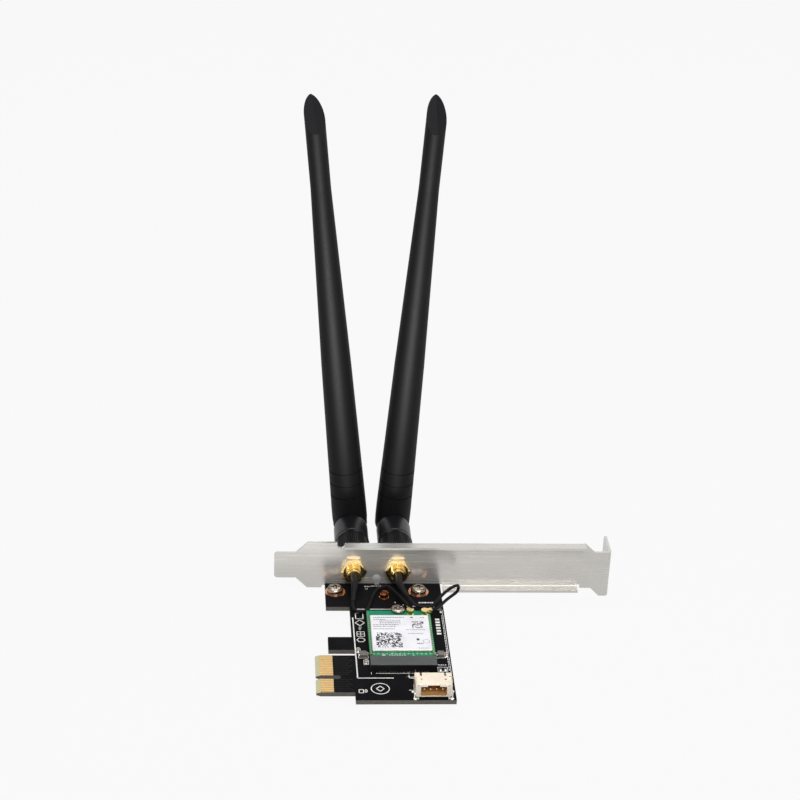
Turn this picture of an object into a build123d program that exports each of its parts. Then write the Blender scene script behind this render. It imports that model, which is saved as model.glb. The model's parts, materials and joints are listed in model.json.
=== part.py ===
from build123d import *
import os
from math import cos, pi, radians, sin, sqrt, tan

# Wireless network card for an x1 slot: board, slot bracket, plug-in radio module and two hinged antennas.
# Working sizes run from the bracket: x along it from the tab's end, y from its inner face with the
# antennas on the plus side, z up from the board's top face. The datum then moves the frame to the axis
# of the retaining screw, on the face of the flange that is screwed down.

# Steel bracket
sheet = 0.9
bend_radius = 0.3
bracket_length = 120.02
bracket_width = 18.42
bracket_drop = 1.92
tab_width = 10.19
tab_length = 7.6
tab_corner = 1.2
lip_reach = 3.3
upper_lip_from = 24.7
upper_lip_stop = 9.82
lower_lip_stop = 11.62
lower_slope_stop = 6.62
lip_gap = 0.9
notch_width = 2.6
notch_depth = 2.2
relief_width = 1.1
relief_rise = 0.3
flange_width = 18.0
flange_high = 12.8
flange_reach = 11.4
flange_corner = 1.0
slot_width = 4.4
slot_from_face = 6.35
slot_depth = 5.5
foot_width = 6.9
foot_reach = 10.0
light_hole = 3.2
light_x = 36.4
light_z = 2.0

# Circuit board
board_thickness = 1.6
board_clearance = 0.05
board_right = 59.05
board_front = 71.2
waist = 26.3
block_left = 18.05
block_depth = 15.8
prong_left = 18.2
prong_from = 34.5
prong_width = 7.8
prong_gap = 3.2
tongue_tip = 13.6
long_row = 11.65
short_row = 7.65
key_width = 1.9
key_depth = 7.4
bevel_length = 1.5
bevel_drop = 0.45
contact_pitch = 1.0
contact_width = 0.7
contact_length = 4.25
contact_from_key = 1.5
contacts_long = 11
contacts_short = 7
foil = 0.06

# Board screws, in the bracket's feet
left_screw_x = 21.5
right_screw_x = 51.0
screw_from_face = 5.8
screw_size = 3.0
screw_head = 5.6
screw_head_height = 2.1
head_edge = 0.4
recess_span = 0.52
recess_width = 0.14
recess_depth = 0.5
screw_length = 4.6
screw_clearance = 0.1
pad_width = 7.2
plating = 0.2
plated_hole = 3.0
plated_rise = 1.7
plated_x = 38.6
plated_from_face = 9.3

# Radio module and its socket
module_x = 42.8
module_far = 21.4
module_width = 22.0
module_length = 30.0
module_thickness = 0.8
module_rise = 1.35
module_edge_width = 19.85
module_edge_length = 4.0
module_notch = 3.5
shield_width = 20.3
shield_length = 21.3
shield_from = 4.3
shield_height = 1.0
shield_wall = 0.2
label_thickness = 0.08
label_margin = 0.25
label_corner = 0.5
socket_front = 55.25
socket_roof_depth = 5.55
socket_jaw_depth = 8.4
socket_height = 2.85
socket_jaw_height = 1.1
socket_wall = 1.6
slot_clearance = 0.1
tail_pitch = 0.5
tail_count = 34
tail_width = 0.22
tail_length = 0.9
tail_thickness = 0.2
standoff_width = 5.0
standoff_peg = 3.2
module_screw = 2.0
module_screw_head = 5.0
module_screw_head_height = 1.4
module_screw_length = 2.9

# Snap-on coax plugs and their cables
jack_base = 2.4
jack_base_height = 0.3
jack_post = 1.7
jack_height = 1.0
plug_size = 2.6
plug_height = 1.4
plug_bore = 1.9
plug_cap = 0.3
plug_tail = 2.6
plug_tail_width = 1.3
plug_tail_height = 1.2
left_plug_x = 46.8
left_plug_y = -23.2
right_plug_x = 51.9
right_plug_y = -23.4
cable_size = 1.13
sleeve_size = 2.5
sleeve_straight = 4.9
left_sleeve_end = (27.35, -16.3, 2.6)
right_sleeve_end = (46.4, -17.6, 5.25)
cable_lead = 2.9
arc_share = 0.45
left_cable_route = [
    (29.7, -20.3, 0.62),
    (32.3, -18.9, 0.65),
    (33.3, -15.8, 1.0),
    (34.3, -11.6, 1.5),
    (36.4, -7.55, 2.3),
    (39.2, -7.1, 3.2),
    (41.2, -9.6, 3.65),
    (42.8, -13.0, 3.8),
    (44.6, -16.4, 3.65),
    (45.85, -18.55, 3.15),
]
right_cable_route = [
    (49.6, -21.2, 3.7),
    (54.3, -21.05, 3.3),
    (56.3, -18.9, 4.4),
    (58.7, -15.6, 5.3),
    (61.8, -12.1, 5.65),
    (64.3, -9.9, 5.5),
    (64.9, -9.25, 4.0),
    (64.3, -9.9, 2.5),
    (62.2, -12.3, 2.45),
    (60.2, -14.9, 2.55),
    (58.0, -18.6, 2.8),
    (56.3, -21.8, 3.15),
]

# Bulkhead coax jacks
left_sma_x = 28.15
sma_spacing = 15.65
sma_rise = 5.56
thread_size = 6.35
thread_reach = 12.1
thread_clearance = 0.05
hole_clearance = 0.075
hex_flats = 8.0
hex_face = 7.4
hex_thickness = 2.2
hex_turn_slope = 0.6
barrel_size = 5.7
barrel_end_size = 4.8
barrel_end = 0.5
barrel_reach = 5.0
ferrule_size = 1.9
ferrule_length = 3.5
insulator_size = 4.1
mating_bore = 4.6
mating_depth = 3.8
pin_size = 1.27
pin_round = 0.25
pin_recess = 1.0
washer_size = 8.6
washer_thickness = 0.6
nut_thickness = 2.0

# Four-pin cable header
header_width = 12.1
header_from_edge = 1.45
header_from_front = 1.2
header_depth = 6.95
header_height = 5.2
header_lift = 0.43
header_foot = 2.4
header_corner = 1.0
cavity_width = 8.4
cavity_floor = 0.44
cavity_height = 3.4
cavity_depth = 5.6
key_slot_width = 3.9
key_slot_height = 0.6
key_slot_depth = 1.6
roof_slot_spacing = 7.9
roof_slot_width = 0.6
roof_slot_length = 1.9
roof_hole_length = 0.9
roof_hole_from_back = 3.2
pin_pitch = 2.0
pin_count = 4
header_pin = 0.5
header_pin_rise = 2.4
pin_setback = 1.6
lug_thickness = 0.3
lug_length = 5.0
lug_height = 1.9
lug_tab = 1.6
lug_tab_out = 0.9

# Small parts on the board
chip_length = 1.6
chip_width = 0.85
chip_height = 0.5
capacitor_height = 0.75
chip_terminal = 0.3
chip_gap = 0.8
resistor_setback = 1.45
capacitor_setback = 5.65
coil_setback = 9.75
corner_chip_row = 18.4
coil_width = 2.4
coil_height = 1.2
coil_corner = 0.4
coil_edge = 0.2
lamp_width = 1.6
lamp_depth = 1.2
lamp_height = 0.8
lamp_from_face = 1.7

# Antennas
left_lean = -6.0
right_lean = 3.3
collar_size = 12.8
collar_from = 4.35
collar_length = 12.6
collar_rim = 1.8
collar_edge = 0.5
collar_wall = 2.5
collar_bore = 9.0
groove_count = 60
groove_depth = 0.3
insert_from = 0.5
insert_length = 5.8
stem_size = 7.0
swivel_clearance = 0.05
keeper_size = 8.6
keeper_thickness = 1.0
keeper_play = 0.3
drum_size = 12.4
drum_gap = 0.25
drum_chamfer = 0.35
hinge_out = 34.05
tine_spread = 6.6
tine_gap = 2.6
tine_radius = 4.6
tine_clearance = 0.15
hinge_gap = 0.3
pivot_size = 3.0
pivot_clearance = 0.08
pivot_recess = 0.25
plug_insulator_from = 8.7
plug_insulator_to = 14.55
plug_insulator_size = 4.4
contact_size = 2.0
contact_to = 15.55
socket_clearance = 0.05
socket_depth = 2.8
mast_length = 163.25
mast_shoulder = 6.5
mast_base_radius = 6.44
mast_knee = 64.4
mast_knee_radius = 5.33
mast_neck_stop = 32.35
mast_top_radius = 3.52
mast_bore_from = 14.0
mast_bore_stop = 17.35
mast_bore_base_radius = 4.4
mast_bore_top_radius = 2.2
ring_first = 12.2
ring_step = 5.08
ring_count = 3
ring_width = 0.5
ring_depth = 0.25
tip_facet_length = 12.0
tip_facet_turn = 10.0
tip_facet_yaw = 12.0
feed_size = 2.2
feed_from = 1.9
feed_to = 75.0
balun_size = 4.2
balun_from = 42.0
balun_to = 72.0
radiator_size = 1.0
radiator_stop = 27.35

bend = sheet + bend_radius
board_gap = bend_radius + board_clearance
bottom = -bracket_drop
top = bottom + bracket_width
middle = (bottom + top) / 2
flange_low = flange_high - flange_width
upper_lip_to = bracket_length - upper_lip_stop
lower_lip_from = board_right + lip_gap
lower_lip_to = bracket_length - lower_lip_stop
lower_slope_from = bracket_length - lower_slope_stop
foot_low = -board_thickness - sheet
datum_x = sheet - bracket_length
datum_y = -sheet - slot_from_face
datum_z = -(flange_low + slot_depth)
groove_side = groove_depth * sqrt(2)
sma_x = {"left": left_sma_x, "right": left_sma_x + sma_spacing}
lean = {"left": left_lean, "right": right_lean}
tongue_from = prong_from + prong_width + prong_gap
tongue_to = tongue_from + long_row + key_width + short_row
key_middle = tongue_from + long_row + key_width / 2
module_top = module_rise + module_thickness
module_near = module_far + module_length
screw_spots = [(left_screw_x, -screw_from_face), (right_screw_x, -screw_from_face)]
plug_spots = [(left_plug_x, left_plug_y), (right_plug_x, right_plug_y)]
thread_end = sheet + thread_reach
mate_from = thread_end - mating_depth
hinge_y = sheet + hinge_out
drum_radius = drum_size / 2
collar_end = sheet + collar_from + collar_length
collar_floor = collar_end - collar_wall
keeper_from = collar_floor - keeper_play - keeper_thickness
drum_from = collar_end + drum_gap
rim_from = collar_end - collar_rim
drum_to = hinge_y - mast_base_radius - hinge_gap
tine_slot_radius = tine_radius + hinge_gap
mast_neck = mast_length - mast_neck_stop
mast_bore_to = mast_length - mast_bore_stop
tip_facet_from = mast_length - tip_facet_length
radiator_to = mast_length - radiator_stop
ring_places = [ring_first + ring_step * i for i in range(ring_count)]
module_left = module_x - module_width / 2
module_right = module_x + module_width / 2
header_right = board_right - header_from_edge
header_left = header_right - header_width
header_front = header_from_front - board_front
header_back = header_front + header_depth
header_middle = (header_left + header_right) / 2
cavity_low = header_lift + cavity_floor
cavity_high = cavity_low + cavity_height

os.makedirs("parts", exist_ok=True)


def level(height):
    """Plane facing up, at a height above the board's top face."""
    return Plane((datum_x, datum_y, datum_z + height))


def upright(y):
    """Plane along the bracket that faces the board, at a distance from the bracket's inner face."""
    return Plane((datum_x, datum_y + y, datum_z), x_dir=(1, 0, 0), z_dir=(0, -1, 0))


def side(x):
    """Plane across the bracket, at a distance from the tab's end."""
    return Plane((datum_x + x, datum_y, datum_z), x_dir=(0, 1, 0), z_dir=(1, 0, 0))


def spot(x, y, z):
    """Point of the working sizes in the part's own frame."""
    return Vector(datum_x + x, datum_y + y, datum_z + z)


def axial(x, y):
    """Plane square to a jack's axis that faces out of the bracket."""
    return Plane(spot(x, y, sma_rise), x_dir=(-1, 0, 0), z_dir=(0, 1, 0))


def span(x0, x1, y0, y1, mode=Mode.ADD):
    """Rectangle between two corners, in the sketch that is open."""
    with Locations(((x0 + x1) / 2, (y0 + y1) / 2)):
        Rectangle(x1 - x0, y1 - y0, mode=mode)


def block(x0, x1, y0, y1, z0, z1, mode=Mode.ADD):
    """Box between two corners, in the part that is open."""
    with BuildSketch(level(z0)) as footprint:
        span(x0, x1, y0, y1)
    extrude(footprint.sketch, amount=z1 - z0, mode=mode)


def rod(x, y0, y1, radius, mode=Mode.ADD):
    """Cylinder on a jack's axis, in the part that is open."""
    with BuildSketch(axial(x, y0)) as section:
        Circle(radius)
    extrude(section.sketch, amount=y1 - y0, mode=mode)


def hexagon(x, y0, y1):
    """Hexagon across the jack's flats with its corners turned off at both ends, in the part that is open."""
    corner = hex_flats / sqrt(3)
    face = hex_face / 2
    turned = (corner - face) * hex_turn_slope
    with BuildSketch(axial(x, y0)) as section:
        RegularPolygon(hex_flats / 2, 6, major_radius=False)
    extrude(section.sketch, amount=y1 - y0)
    with BuildSketch(level(sma_rise)) as profile:
        with BuildLine():
            Polyline(
                (x, y0),
                (x + face, y0),
                (x + corner, y0 + turned),
                (x + corner, y1 - turned),
                (x + face, y1),
                (x, y1),
                close=True,
            )
        make_face()
    revolve(profile.sketch, axis=Axis(spot(x, 0, sma_rise), (0, 1, 0)), mode=Mode.INTERSECT)


def fold(corner, reach_dir, end_dir, reach, length):
    """Turn the sheet's edge over with a rolled bend, in the part that is open."""
    plane = Plane(corner, x_dir=reach_dir, z_dir=Vector(*reach_dir).cross(Vector(*end_dir)))
    with BuildSketch(plane) as strip:
        span(-sheet, 0, -bend, 0)
    extrude(strip.sketch, amount=length, mode=Mode.SUBTRACT)
    with BuildSketch(plane) as profile:
        with BuildLine():
            Line((-sheet, -bend), (0, -bend))
            CenterArc((bend_radius, -bend), bend_radius, 180, -90)
            Line((bend_radius, -sheet), (reach, -sheet))
            Line((reach, -sheet), (reach, 0))
            Line((reach, 0), (bend_radius, 0))
            CenterArc((bend_radius, -bend), bend, 90, 90)
        make_face()
    extrude(profile.sketch, amount=length)


def keep(piece, name):
    """Name a finished piece and write it out."""
    piece.label = name
    export_step(piece, f"parts/{name}.step")


# Bracket: flat blank with its holes, then the folds
with BuildPart() as bracket:
    taper = (bracket_width - tab_width) / 2
    with BuildSketch(upright(sheet)) as blank:
        with BuildLine():
            Polyline(
                (0, middle - tab_width / 2),
                (tab_length, middle - tab_width / 2),
                (tab_length + taper, bottom),
                (lower_slope_from, bottom),
                (lower_slope_from + bottom - flange_low, flange_low),
                (bracket_length, flange_low),
                (bracket_length, flange_high),
                (upper_lip_to + top - flange_high, flange_high),
                (upper_lip_to, top),
                (tab_length + taper, top),
                (tab_length, middle + tab_width / 2),
                (0, middle + tab_width / 2),
                close=True,
            )
        make_face()
        fillet(blank.vertices().group_by(Axis.X)[0], tab_corner)
        with Locations((upper_lip_from - notch_width / 2, top - notch_depth + notch_width / 2)):
            Circle(notch_width / 2, mode=Mode.SUBTRACT)
        span(
            upper_lip_from - notch_width,
            upper_lip_from,
            top - notch_depth + notch_width / 2,
            top + sheet,
            Mode.SUBTRACT,
        )
        foot_root = foot_low + bend + relief_rise
        for screw_x, _ in screw_spots:
            foot_edge = foot_width / 2 + relief_width
            span(screw_x - foot_edge, screw_x + foot_edge, foot_low - sheet, foot_root, Mode.SUBTRACT)
            span(screw_x - foot_width / 2, screw_x + foot_width / 2, foot_low, foot_root)
        lip_root = bottom + bend + relief_rise
        for edge in (lower_lip_from - relief_width, lower_lip_to):
            span(edge, edge + relief_width, bottom - sheet, lip_root, Mode.SUBTRACT)
        with Locations(*[(x, sma_rise) for x in sma_x.values()]):
            Circle(thread_size / 2 + hole_clearance, mode=Mode.SUBTRACT)
        with Locations((light_x, light_z)):
            Circle(light_hole / 2, mode=Mode.SUBTRACT)
    extrude(amount=sheet)
    fold(spot(upper_lip_to, 0, top), (0, -1, 0), (0, 0, 1), lip_reach, upper_lip_to - upper_lip_from)
    fold(spot(lower_lip_from, 0, bottom), (0, -1, 0), (0, 0, -1), lip_reach, lower_lip_to - lower_lip_from)
    for screw_x, _ in screw_spots:
        fold(spot(screw_x - foot_width / 2, 0, foot_low), (0, -1, 0), (0, 0, -1), foot_reach, foot_width)
    fold(spot(bracket_length, sheet, flange_high), (0, 1, 0), (1, 0, 0), flange_reach, flange_width)
    fillet(bracket.edges().filter_by(Axis.X).group_by(Axis.Y)[-1], flange_corner)
    with BuildSketch(level(foot_low)):
        with Locations(*screw_spots):
            Circle(screw_size / 2 + thread_clearance)
    extrude(amount=sheet, mode=Mode.SUBTRACT)
    with BuildSketch(side(bracket_length - sheet)):
        with Locations((sheet + slot_from_face, flange_low + slot_depth)):
            Circle(slot_width / 2)
        slot_edge = sheet + slot_from_face - slot_width / 2
        span(slot_edge, slot_edge + slot_width, flange_low - sheet, flange_low + slot_depth)
    extrude(amount=sheet, mode=Mode.SUBTRACT)
keep(bracket.part, "bracket")

# Circuit board: one outline with the edge tongue, the key and the two cut-outs
with BuildPart() as pcb:
    with BuildSketch(level(-board_thickness)):
        span(waist, board_right, -board_front, -board_gap)
        span(block_left, waist, -block_depth, -board_gap)
        span(prong_left, waist, -prong_from - prong_width, -prong_from)
        span(tongue_tip, waist, -tongue_to, -tongue_from)
        key_edge = -key_middle - key_width / 2
        span(tongue_tip, tongue_tip + key_depth, key_edge, key_edge + key_width, Mode.SUBTRACT)
        with Locations((tongue_tip + key_depth, -key_middle)):
            Circle(key_width / 2, mode=Mode.SUBTRACT)
        with Locations((waist, -tongue_from + prong_gap / 2)):
            Circle(prong_gap / 2, mode=Mode.SUBTRACT)
        with Locations(*screw_spots):
            Circle(screw_size / 2 + screw_clearance + plating, mode=Mode.SUBTRACT)
        with Locations((plated_x, -plated_from_face)):
            Circle(plated_hole / 2, mode=Mode.SUBTRACT)
        with Locations((module_x, -module_far)):
            Circle(standoff_peg / 2, mode=Mode.SUBTRACT)
    extrude(amount=board_thickness)
    with BuildSketch(upright(-tongue_from)):
        with BuildLine():
            Polyline((tongue_tip, -bevel_drop), (tongue_tip, 0), (tongue_tip + bevel_length, 0), close=True)
        make_face()
        with BuildLine():
            Polyline(
                (tongue_tip, bevel_drop - board_thickness),
                (tongue_tip, -board_thickness),
                (tongue_tip + bevel_length, -board_thickness),
                close=True,
            )
        make_face()
    extrude(amount=tongue_to - tongue_from, mode=Mode.SUBTRACT)
keep(pcb.part, "pcb")

# Gold contacts on both faces of the tongue
with BuildPart() as edge_contacts:
    contact_x = tongue_tip + bevel_length + contact_length / 2
    long_ys = [-key_middle + contact_from_key + contact_pitch * i for i in range(contacts_long)]
    short_ys = [-key_middle - contact_from_key - contact_pitch * i for i in range(contacts_short)]
    for height, thickness in ((0, foil), (-board_thickness, -foil)):
        with BuildSketch(level(height)):
            with Locations(*[(contact_x, y) for y in long_ys + short_ys]):
                Rectangle(contact_length, contact_width)
        extrude(amount=thickness)
keep(edge_contacts.part, "edge_contacts")

# Plated holes: a barrel through the board and a pad on its top face; the small one stands up as an eyelet
with BuildPart() as hole_plating:
    plated_spot = (plated_x, -plated_from_face)
    with BuildSketch(level(-board_thickness)):
        with Locations(*screw_spots):
            Circle(screw_size / 2 + screw_clearance + plating)
    extrude(amount=board_thickness)
    with BuildSketch(level(-board_thickness)):
        with Locations(plated_spot):
            Circle(plated_hole / 2)
    extrude(amount=board_thickness + plated_rise)
    with BuildSketch(level(0)):
        with Locations(*screw_spots):
            Circle(pad_width / 2)
        with Locations(plated_spot):
            Circle(plated_hole / 2 + plating)
    extrude(amount=foil)
    with BuildSketch(level(plated_rise)):
        with Locations(*screw_spots):
            Circle(screw_size / 2 + screw_clearance)
        with Locations(plated_spot):
            Circle(plated_hole / 2 - plating)
    extrude(amount=-board_thickness - plated_rise, mode=Mode.SUBTRACT)
keep(hole_plating.part, "hole_plating")


def pan_screws(spots, seat, size, head, head_height, length):
    """Pan-head screws with a cross recess, heads seated at one height."""
    with BuildPart() as screws:
        with BuildSketch(level(seat)):
            with Locations(*spots):
                Circle(head / 2)
        extrude(amount=head_height)
        chamfer(screws.edges().group_by(Axis.Z)[-1], head_height * head_edge)
        with BuildSketch(level(seat)):
            with Locations(*spots):
                Circle(size / 2)
        extrude(amount=-length)
        with BuildSketch(level(seat + head_height)):
            with Locations(*spots):
                Rectangle(head * recess_span, head * recess_width)
                Rectangle(head * recess_width, head * recess_span)
        extrude(amount=-head_height * recess_depth, mode=Mode.SUBTRACT)
    return screws.part


keep(pan_screws(screw_spots, foil, screw_size, screw_head, screw_head_height, screw_length), "board_screws")

# Module socket: a low jaw, a roof over the slot, and a row of solder tails
with BuildPart() as m2_socket:
    socket_mouth = socket_jaw_depth - socket_front
    block(module_left, module_right, -socket_front, socket_mouth, 0, socket_jaw_height)
    block(module_left, module_right, -socket_front, socket_roof_depth - socket_front, 0, socket_height)
    slot_half = module_edge_width / 2 + slot_clearance
    block(
        module_x - slot_half,
        module_x + slot_half,
        socket_wall - socket_front,
        socket_roof_depth - socket_front,
        module_rise - slot_clearance,
        module_top + slot_clearance,
        Mode.SUBTRACT,
    )
keep(m2_socket.part, "m2_socket")

with BuildPart() as m2_socket_tails:
    with BuildSketch(level(0)):
        with Locations((module_x, -socket_front - tail_length / 2)):
            with GridLocations(tail_pitch, 1, tail_count, 1):
                Rectangle(tail_width, tail_length)
    extrude(amount=tail_thickness)
keep(m2_socket_tails.part, "m2_socket_tails")

with BuildPart() as m2_standoff:
    with BuildSketch(level(0)):
        with Locations((module_x, -module_far)):
            Circle(standoff_width / 2)
    extrude(amount=module_rise)
    with BuildSketch(level(0)):
        with Locations((module_x, -module_far)):
            Circle(standoff_peg / 2)
    extrude(amount=-board_thickness)
    with BuildSketch(level(module_rise)):
        with Locations((module_x, -module_far)):
            Circle(module_screw / 2 + thread_clearance)
    extrude(amount=-module_rise - board_thickness, mode=Mode.SUBTRACT)
keep(m2_standoff.part, "m2_standoff")

m2_screw_spot = [(module_x, -module_far)]
m2_screw_sizes = (module_screw, module_screw_head, module_screw_head_height, module_screw_length)
keep(pan_screws(m2_screw_spot, module_top, *m2_screw_sizes), "m2_screw")

# Radio module: board with a half-round screw notch and a narrow plug-in edge, shield can, paper label
with BuildPart() as module_board:
    with BuildSketch(level(module_rise)):
        edge_from = module_edge_length - module_near
        span(module_left, module_right, edge_from, -module_far)
        span(module_x - module_edge_width / 2, module_x + module_edge_width / 2, -module_near, edge_from)
        with Locations((module_x, -module_far)):
            Circle(module_notch / 2, mode=Mode.SUBTRACT)
    extrude(amount=module_thickness)
keep(module_board.part, "module_board")

shield_left = module_x - shield_width / 2
shield_right = module_x + shield_width / 2
shield_far = -module_far - shield_from
shield_near = shield_far - shield_length
with BuildPart() as module_shield:
    block(shield_left, shield_right, shield_near, shield_far, module_top, module_top + shield_height)
    fillet(module_shield.edges().filter_by(Axis.Z), shield_wall * 2)
    fillet(module_shield.edges().group_by(Axis.Z)[-1], shield_wall)
    block(
        shield_left + shield_wall,
        shield_right - shield_wall,
        shield_near + shield_wall,
        shield_far - shield_wall,
        module_top,
        module_top + shield_height - shield_wall,
        Mode.SUBTRACT,
    )
keep(module_shield.part, "module_shield")

with BuildPart() as module_label:
    label_low = module_top + shield_height
    block(
        shield_left + label_margin,
        shield_right - label_margin,
        shield_near + label_margin,
        shield_far - label_margin,
        label_low,
        label_low + label_thickness,
    )
    fillet(module_label.edges().filter_by(Axis.Z), label_corner)
keep(module_label.part, "module_label")

with BuildPart() as coax_jacks:
    with BuildSketch(level(module_top)):
        with Locations(*plug_spots):
            Rectangle(jack_base, jack_base)
    extrude(amount=jack_base_height)
    with BuildSketch(level(module_top)):
        with Locations(*plug_spots):
            Circle(jack_post / 2)
    extrude(amount=jack_height)
keep(coax_jacks.part, "coax_jacks")


def rounded(points):
    """Route of straight runs and tangent arcs; each arc takes most of the shorter run beside it."""
    runs = [points[i + 1] - points[i] for i in range(len(points) - 1)]
    turns = [radians(runs[i].get_angle(runs[i + 1])) for i in range(len(runs) - 1)]
    shorter = [min(runs[i].length, runs[i + 1].length) for i in range(len(turns))]
    radii = [arc_share * shorter[i] / tan(turns[i] / 2) for i in range(len(turns))]
    print("radii", [round(radius, 2) for radius in radii], "length", round(sum(r.length for r in runs), 1))
    return FilletPolyline(*points, radius=radii)


def tube(points, size):
    """Solid tube along a rounded route."""
    with BuildPart() as cord:
        with BuildLine() as route:
            rounded(points)
        with BuildSketch(Plane(points[0], z_dir=points[1] - points[0])):
            Circle(size / 2)
        sweep(path=route.wire())
    plain_volume = pi * size**2 / 4 * route.wire().length
    print("volume against section times length", round(cord.part.volume / plain_volume, 4))
    return cord.part


# Coax plugs, their pigtails, and the shrink sleeves behind the jacks
plug_low = module_top + jack_base_height
tail_middle = module_top + jack_height
for name, plug_x, plug_y, sleeve_end, cable_route in (
    ("left", left_plug_x, left_plug_y, left_sleeve_end, left_cable_route),
    ("right", right_plug_x, right_plug_y, right_sleeve_end, right_cable_route),
):
    ends_x, ends_y, _ = cable_route[-1]
    tail_way = Vector(ends_x - plug_x, ends_y - plug_y, 0).normalized()
    with BuildPart() as plug:
        with BuildSketch(level(plug_low)):
            with Locations((plug_x, plug_y)):
                Circle(plug_size / 2)
        extrude(amount=plug_height)
        tail_side = tail_way.cross(Vector(0, 0, 1))
        with BuildSketch(Plane(spot(plug_x, plug_y, tail_middle), x_dir=tail_side, z_dir=tail_way)):
            Rectangle(plug_tail_width, plug_tail_height)
        extrude(amount=plug_tail)
        with BuildSketch(level(plug_low)):
            with Locations((plug_x, plug_y)):
                Circle(plug_bore / 2)
        extrude(amount=plug_height - plug_cap, mode=Mode.SUBTRACT)
    keep(plug.part, f"{name}_plug")

    sleeve_from = spot(sma_x[name], -barrel_reach, sma_rise)
    sleeve_bend = spot(sma_x[name], -barrel_reach - sleeve_straight, sma_rise)
    cable_from = spot(*sleeve_end)
    with BuildPart() as sleeve:
        add(tube([sleeve_from, sleeve_bend, cable_from], sleeve_size))
        rod(sma_x[name], -barrel_reach - ferrule_length, -barrel_reach, ferrule_size / 2, Mode.SUBTRACT)
    keep(sleeve.part, f"{name}_sleeve")

    cable_end = spot(plug_x, plug_y, tail_middle) + tail_way * plug_tail
    cable_lead_end = cable_from + (cable_from - sleeve_bend).normalized() * cable_lead
    cable_middle = [spot(*point) for point in cable_route]
    keep(tube([cable_from, cable_lead_end] + cable_middle + [cable_end], cable_size), f"{name}_cable")

# Bulkhead jacks: gold body through the bracket, insulator, centre pin, lock washer and panel nut
for name, x in sma_x.items():
    with BuildPart() as sma_body:
        hexagon(x, -hex_thickness, 0)
        rod(x, 0, thread_end, thread_size / 2)
        rod(x, barrel_end - barrel_reach, -hex_thickness, barrel_size / 2)
        rod(x, -barrel_reach, barrel_end - barrel_reach, barrel_end_size / 2)
        rod(x, -barrel_reach - ferrule_length, -barrel_reach, ferrule_size / 2)
        rod(x, -hex_thickness, mate_from, insulator_size / 2, Mode.SUBTRACT)
        rod(x, mate_from, thread_end, mating_bore / 2, Mode.SUBTRACT)
    keep(sma_body.part, f"{name}_sma_body")

    with BuildPart() as sma_insulator:
        rod(x, -hex_thickness, mate_from, insulator_size / 2)
        rod(x, -hex_thickness, mate_from, pin_size / 2, Mode.SUBTRACT)
    keep(sma_insulator.part, f"{name}_sma_insulator")

    with BuildPart() as sma_pin:
        rod(x, -hex_thickness, thread_end - pin_recess, pin_size / 2)
        fillet(sma_pin.edges().group_by(Axis.Y)[-1], pin_round)
    keep(sma_pin.part, f"{name}_sma_pin")

    with BuildPart() as lock_washer:
        rod(x, sheet, sheet + washer_thickness, washer_size / 2)
        rod(x, sheet, sheet + washer_thickness, thread_size / 2 + thread_clearance, Mode.SUBTRACT)
    keep(lock_washer.part, f"{name}_lock_washer")

    with BuildPart() as panel_nut:
        nut_from = sheet + washer_thickness
        hexagon(x, nut_from, nut_from + nut_thickness)
        rod(x, nut_from, nut_from + nut_thickness, thread_size / 2 + thread_clearance, Mode.SUBTRACT)
    keep(panel_nut.part, f"{name}_panel_nut")

# Cable header: shrouded housing open to the front, four bent pins, a solder lug at each end
pin_xs = [header_middle + pin_pitch * (i - (pin_count - 1) / 2) for i in range(pin_count)]
with BuildPart() as header_housing:
    with BuildSketch(upright(header_front)) as face:
        span(header_left, header_right, header_lift, header_height)
        fillet(face.vertices().group_by(Axis.Z)[0], header_corner)
    extrude(amount=-header_depth)
    block(header_left, header_right, header_back - header_foot, header_back, 0, header_height)
    cavity_left = header_middle - cavity_width / 2
    cavity_right = header_middle + cavity_width / 2
    with BuildSketch(upright(header_front)):
        span(cavity_left, cavity_right, cavity_low, cavity_high)
    extrude(amount=-cavity_depth, mode=Mode.SUBTRACT)
    with BuildSketch(upright(header_front)):
        key_slot_left = header_middle - key_slot_width / 2
        span(key_slot_left, key_slot_left + key_slot_width, cavity_high, cavity_high + key_slot_height)
    extrude(amount=-key_slot_depth, mode=Mode.SUBTRACT)
    with BuildSketch(upright(header_back)):
        with Locations(*[(x, header_pin_rise) for x in pin_xs]):
            Rectangle(header_pin, header_pin)
    extrude(amount=header_depth - cavity_depth, mode=Mode.SUBTRACT)
    with BuildSketch(level(header_height)):
        with Locations((header_middle, header_back - roof_slot_length / 2)):
            with GridLocations(roof_slot_spacing, 1, 2, 1):
                Rectangle(roof_slot_width, roof_slot_length)
        with Locations((header_middle, header_back - roof_hole_from_back - roof_hole_length / 2)):
            with GridLocations(roof_slot_spacing, 1, 2, 1):
                Rectangle(roof_slot_width, roof_hole_length)
    extrude(amount=cavity_high - header_height, mode=Mode.SUBTRACT)
keep(header_housing.part, "header_housing")

with BuildPart() as header_pins:
    half = header_pin / 2
    pin_low = header_pin_rise - half
    pin_high = header_pin_rise + half
    pin_back = header_back + header_pin
    for x in pin_xs:
        block(x - half, x + half, header_front + pin_setback, pin_back, pin_low, pin_high)
        block(x - half, x + half, header_back, pin_back, 0, pin_high)
keep(header_pins.part, "header_pins")

with BuildPart() as header_lugs:
    for edge, way in ((header_left, 1), (header_right, -1)):
        plate = sorted((edge - way * lug_thickness, edge))
        block(*plate, header_front, header_front + lug_length, 0, lug_height)
        tab = sorted((edge - way * lug_thickness, edge - way * lug_thickness + way * lug_tab))
        block(*tab, header_front - lug_tab_out, header_front + lug_tab - lug_tab_out, 0, header_lift)
keep(header_lugs.part, "header_lugs")

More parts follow.
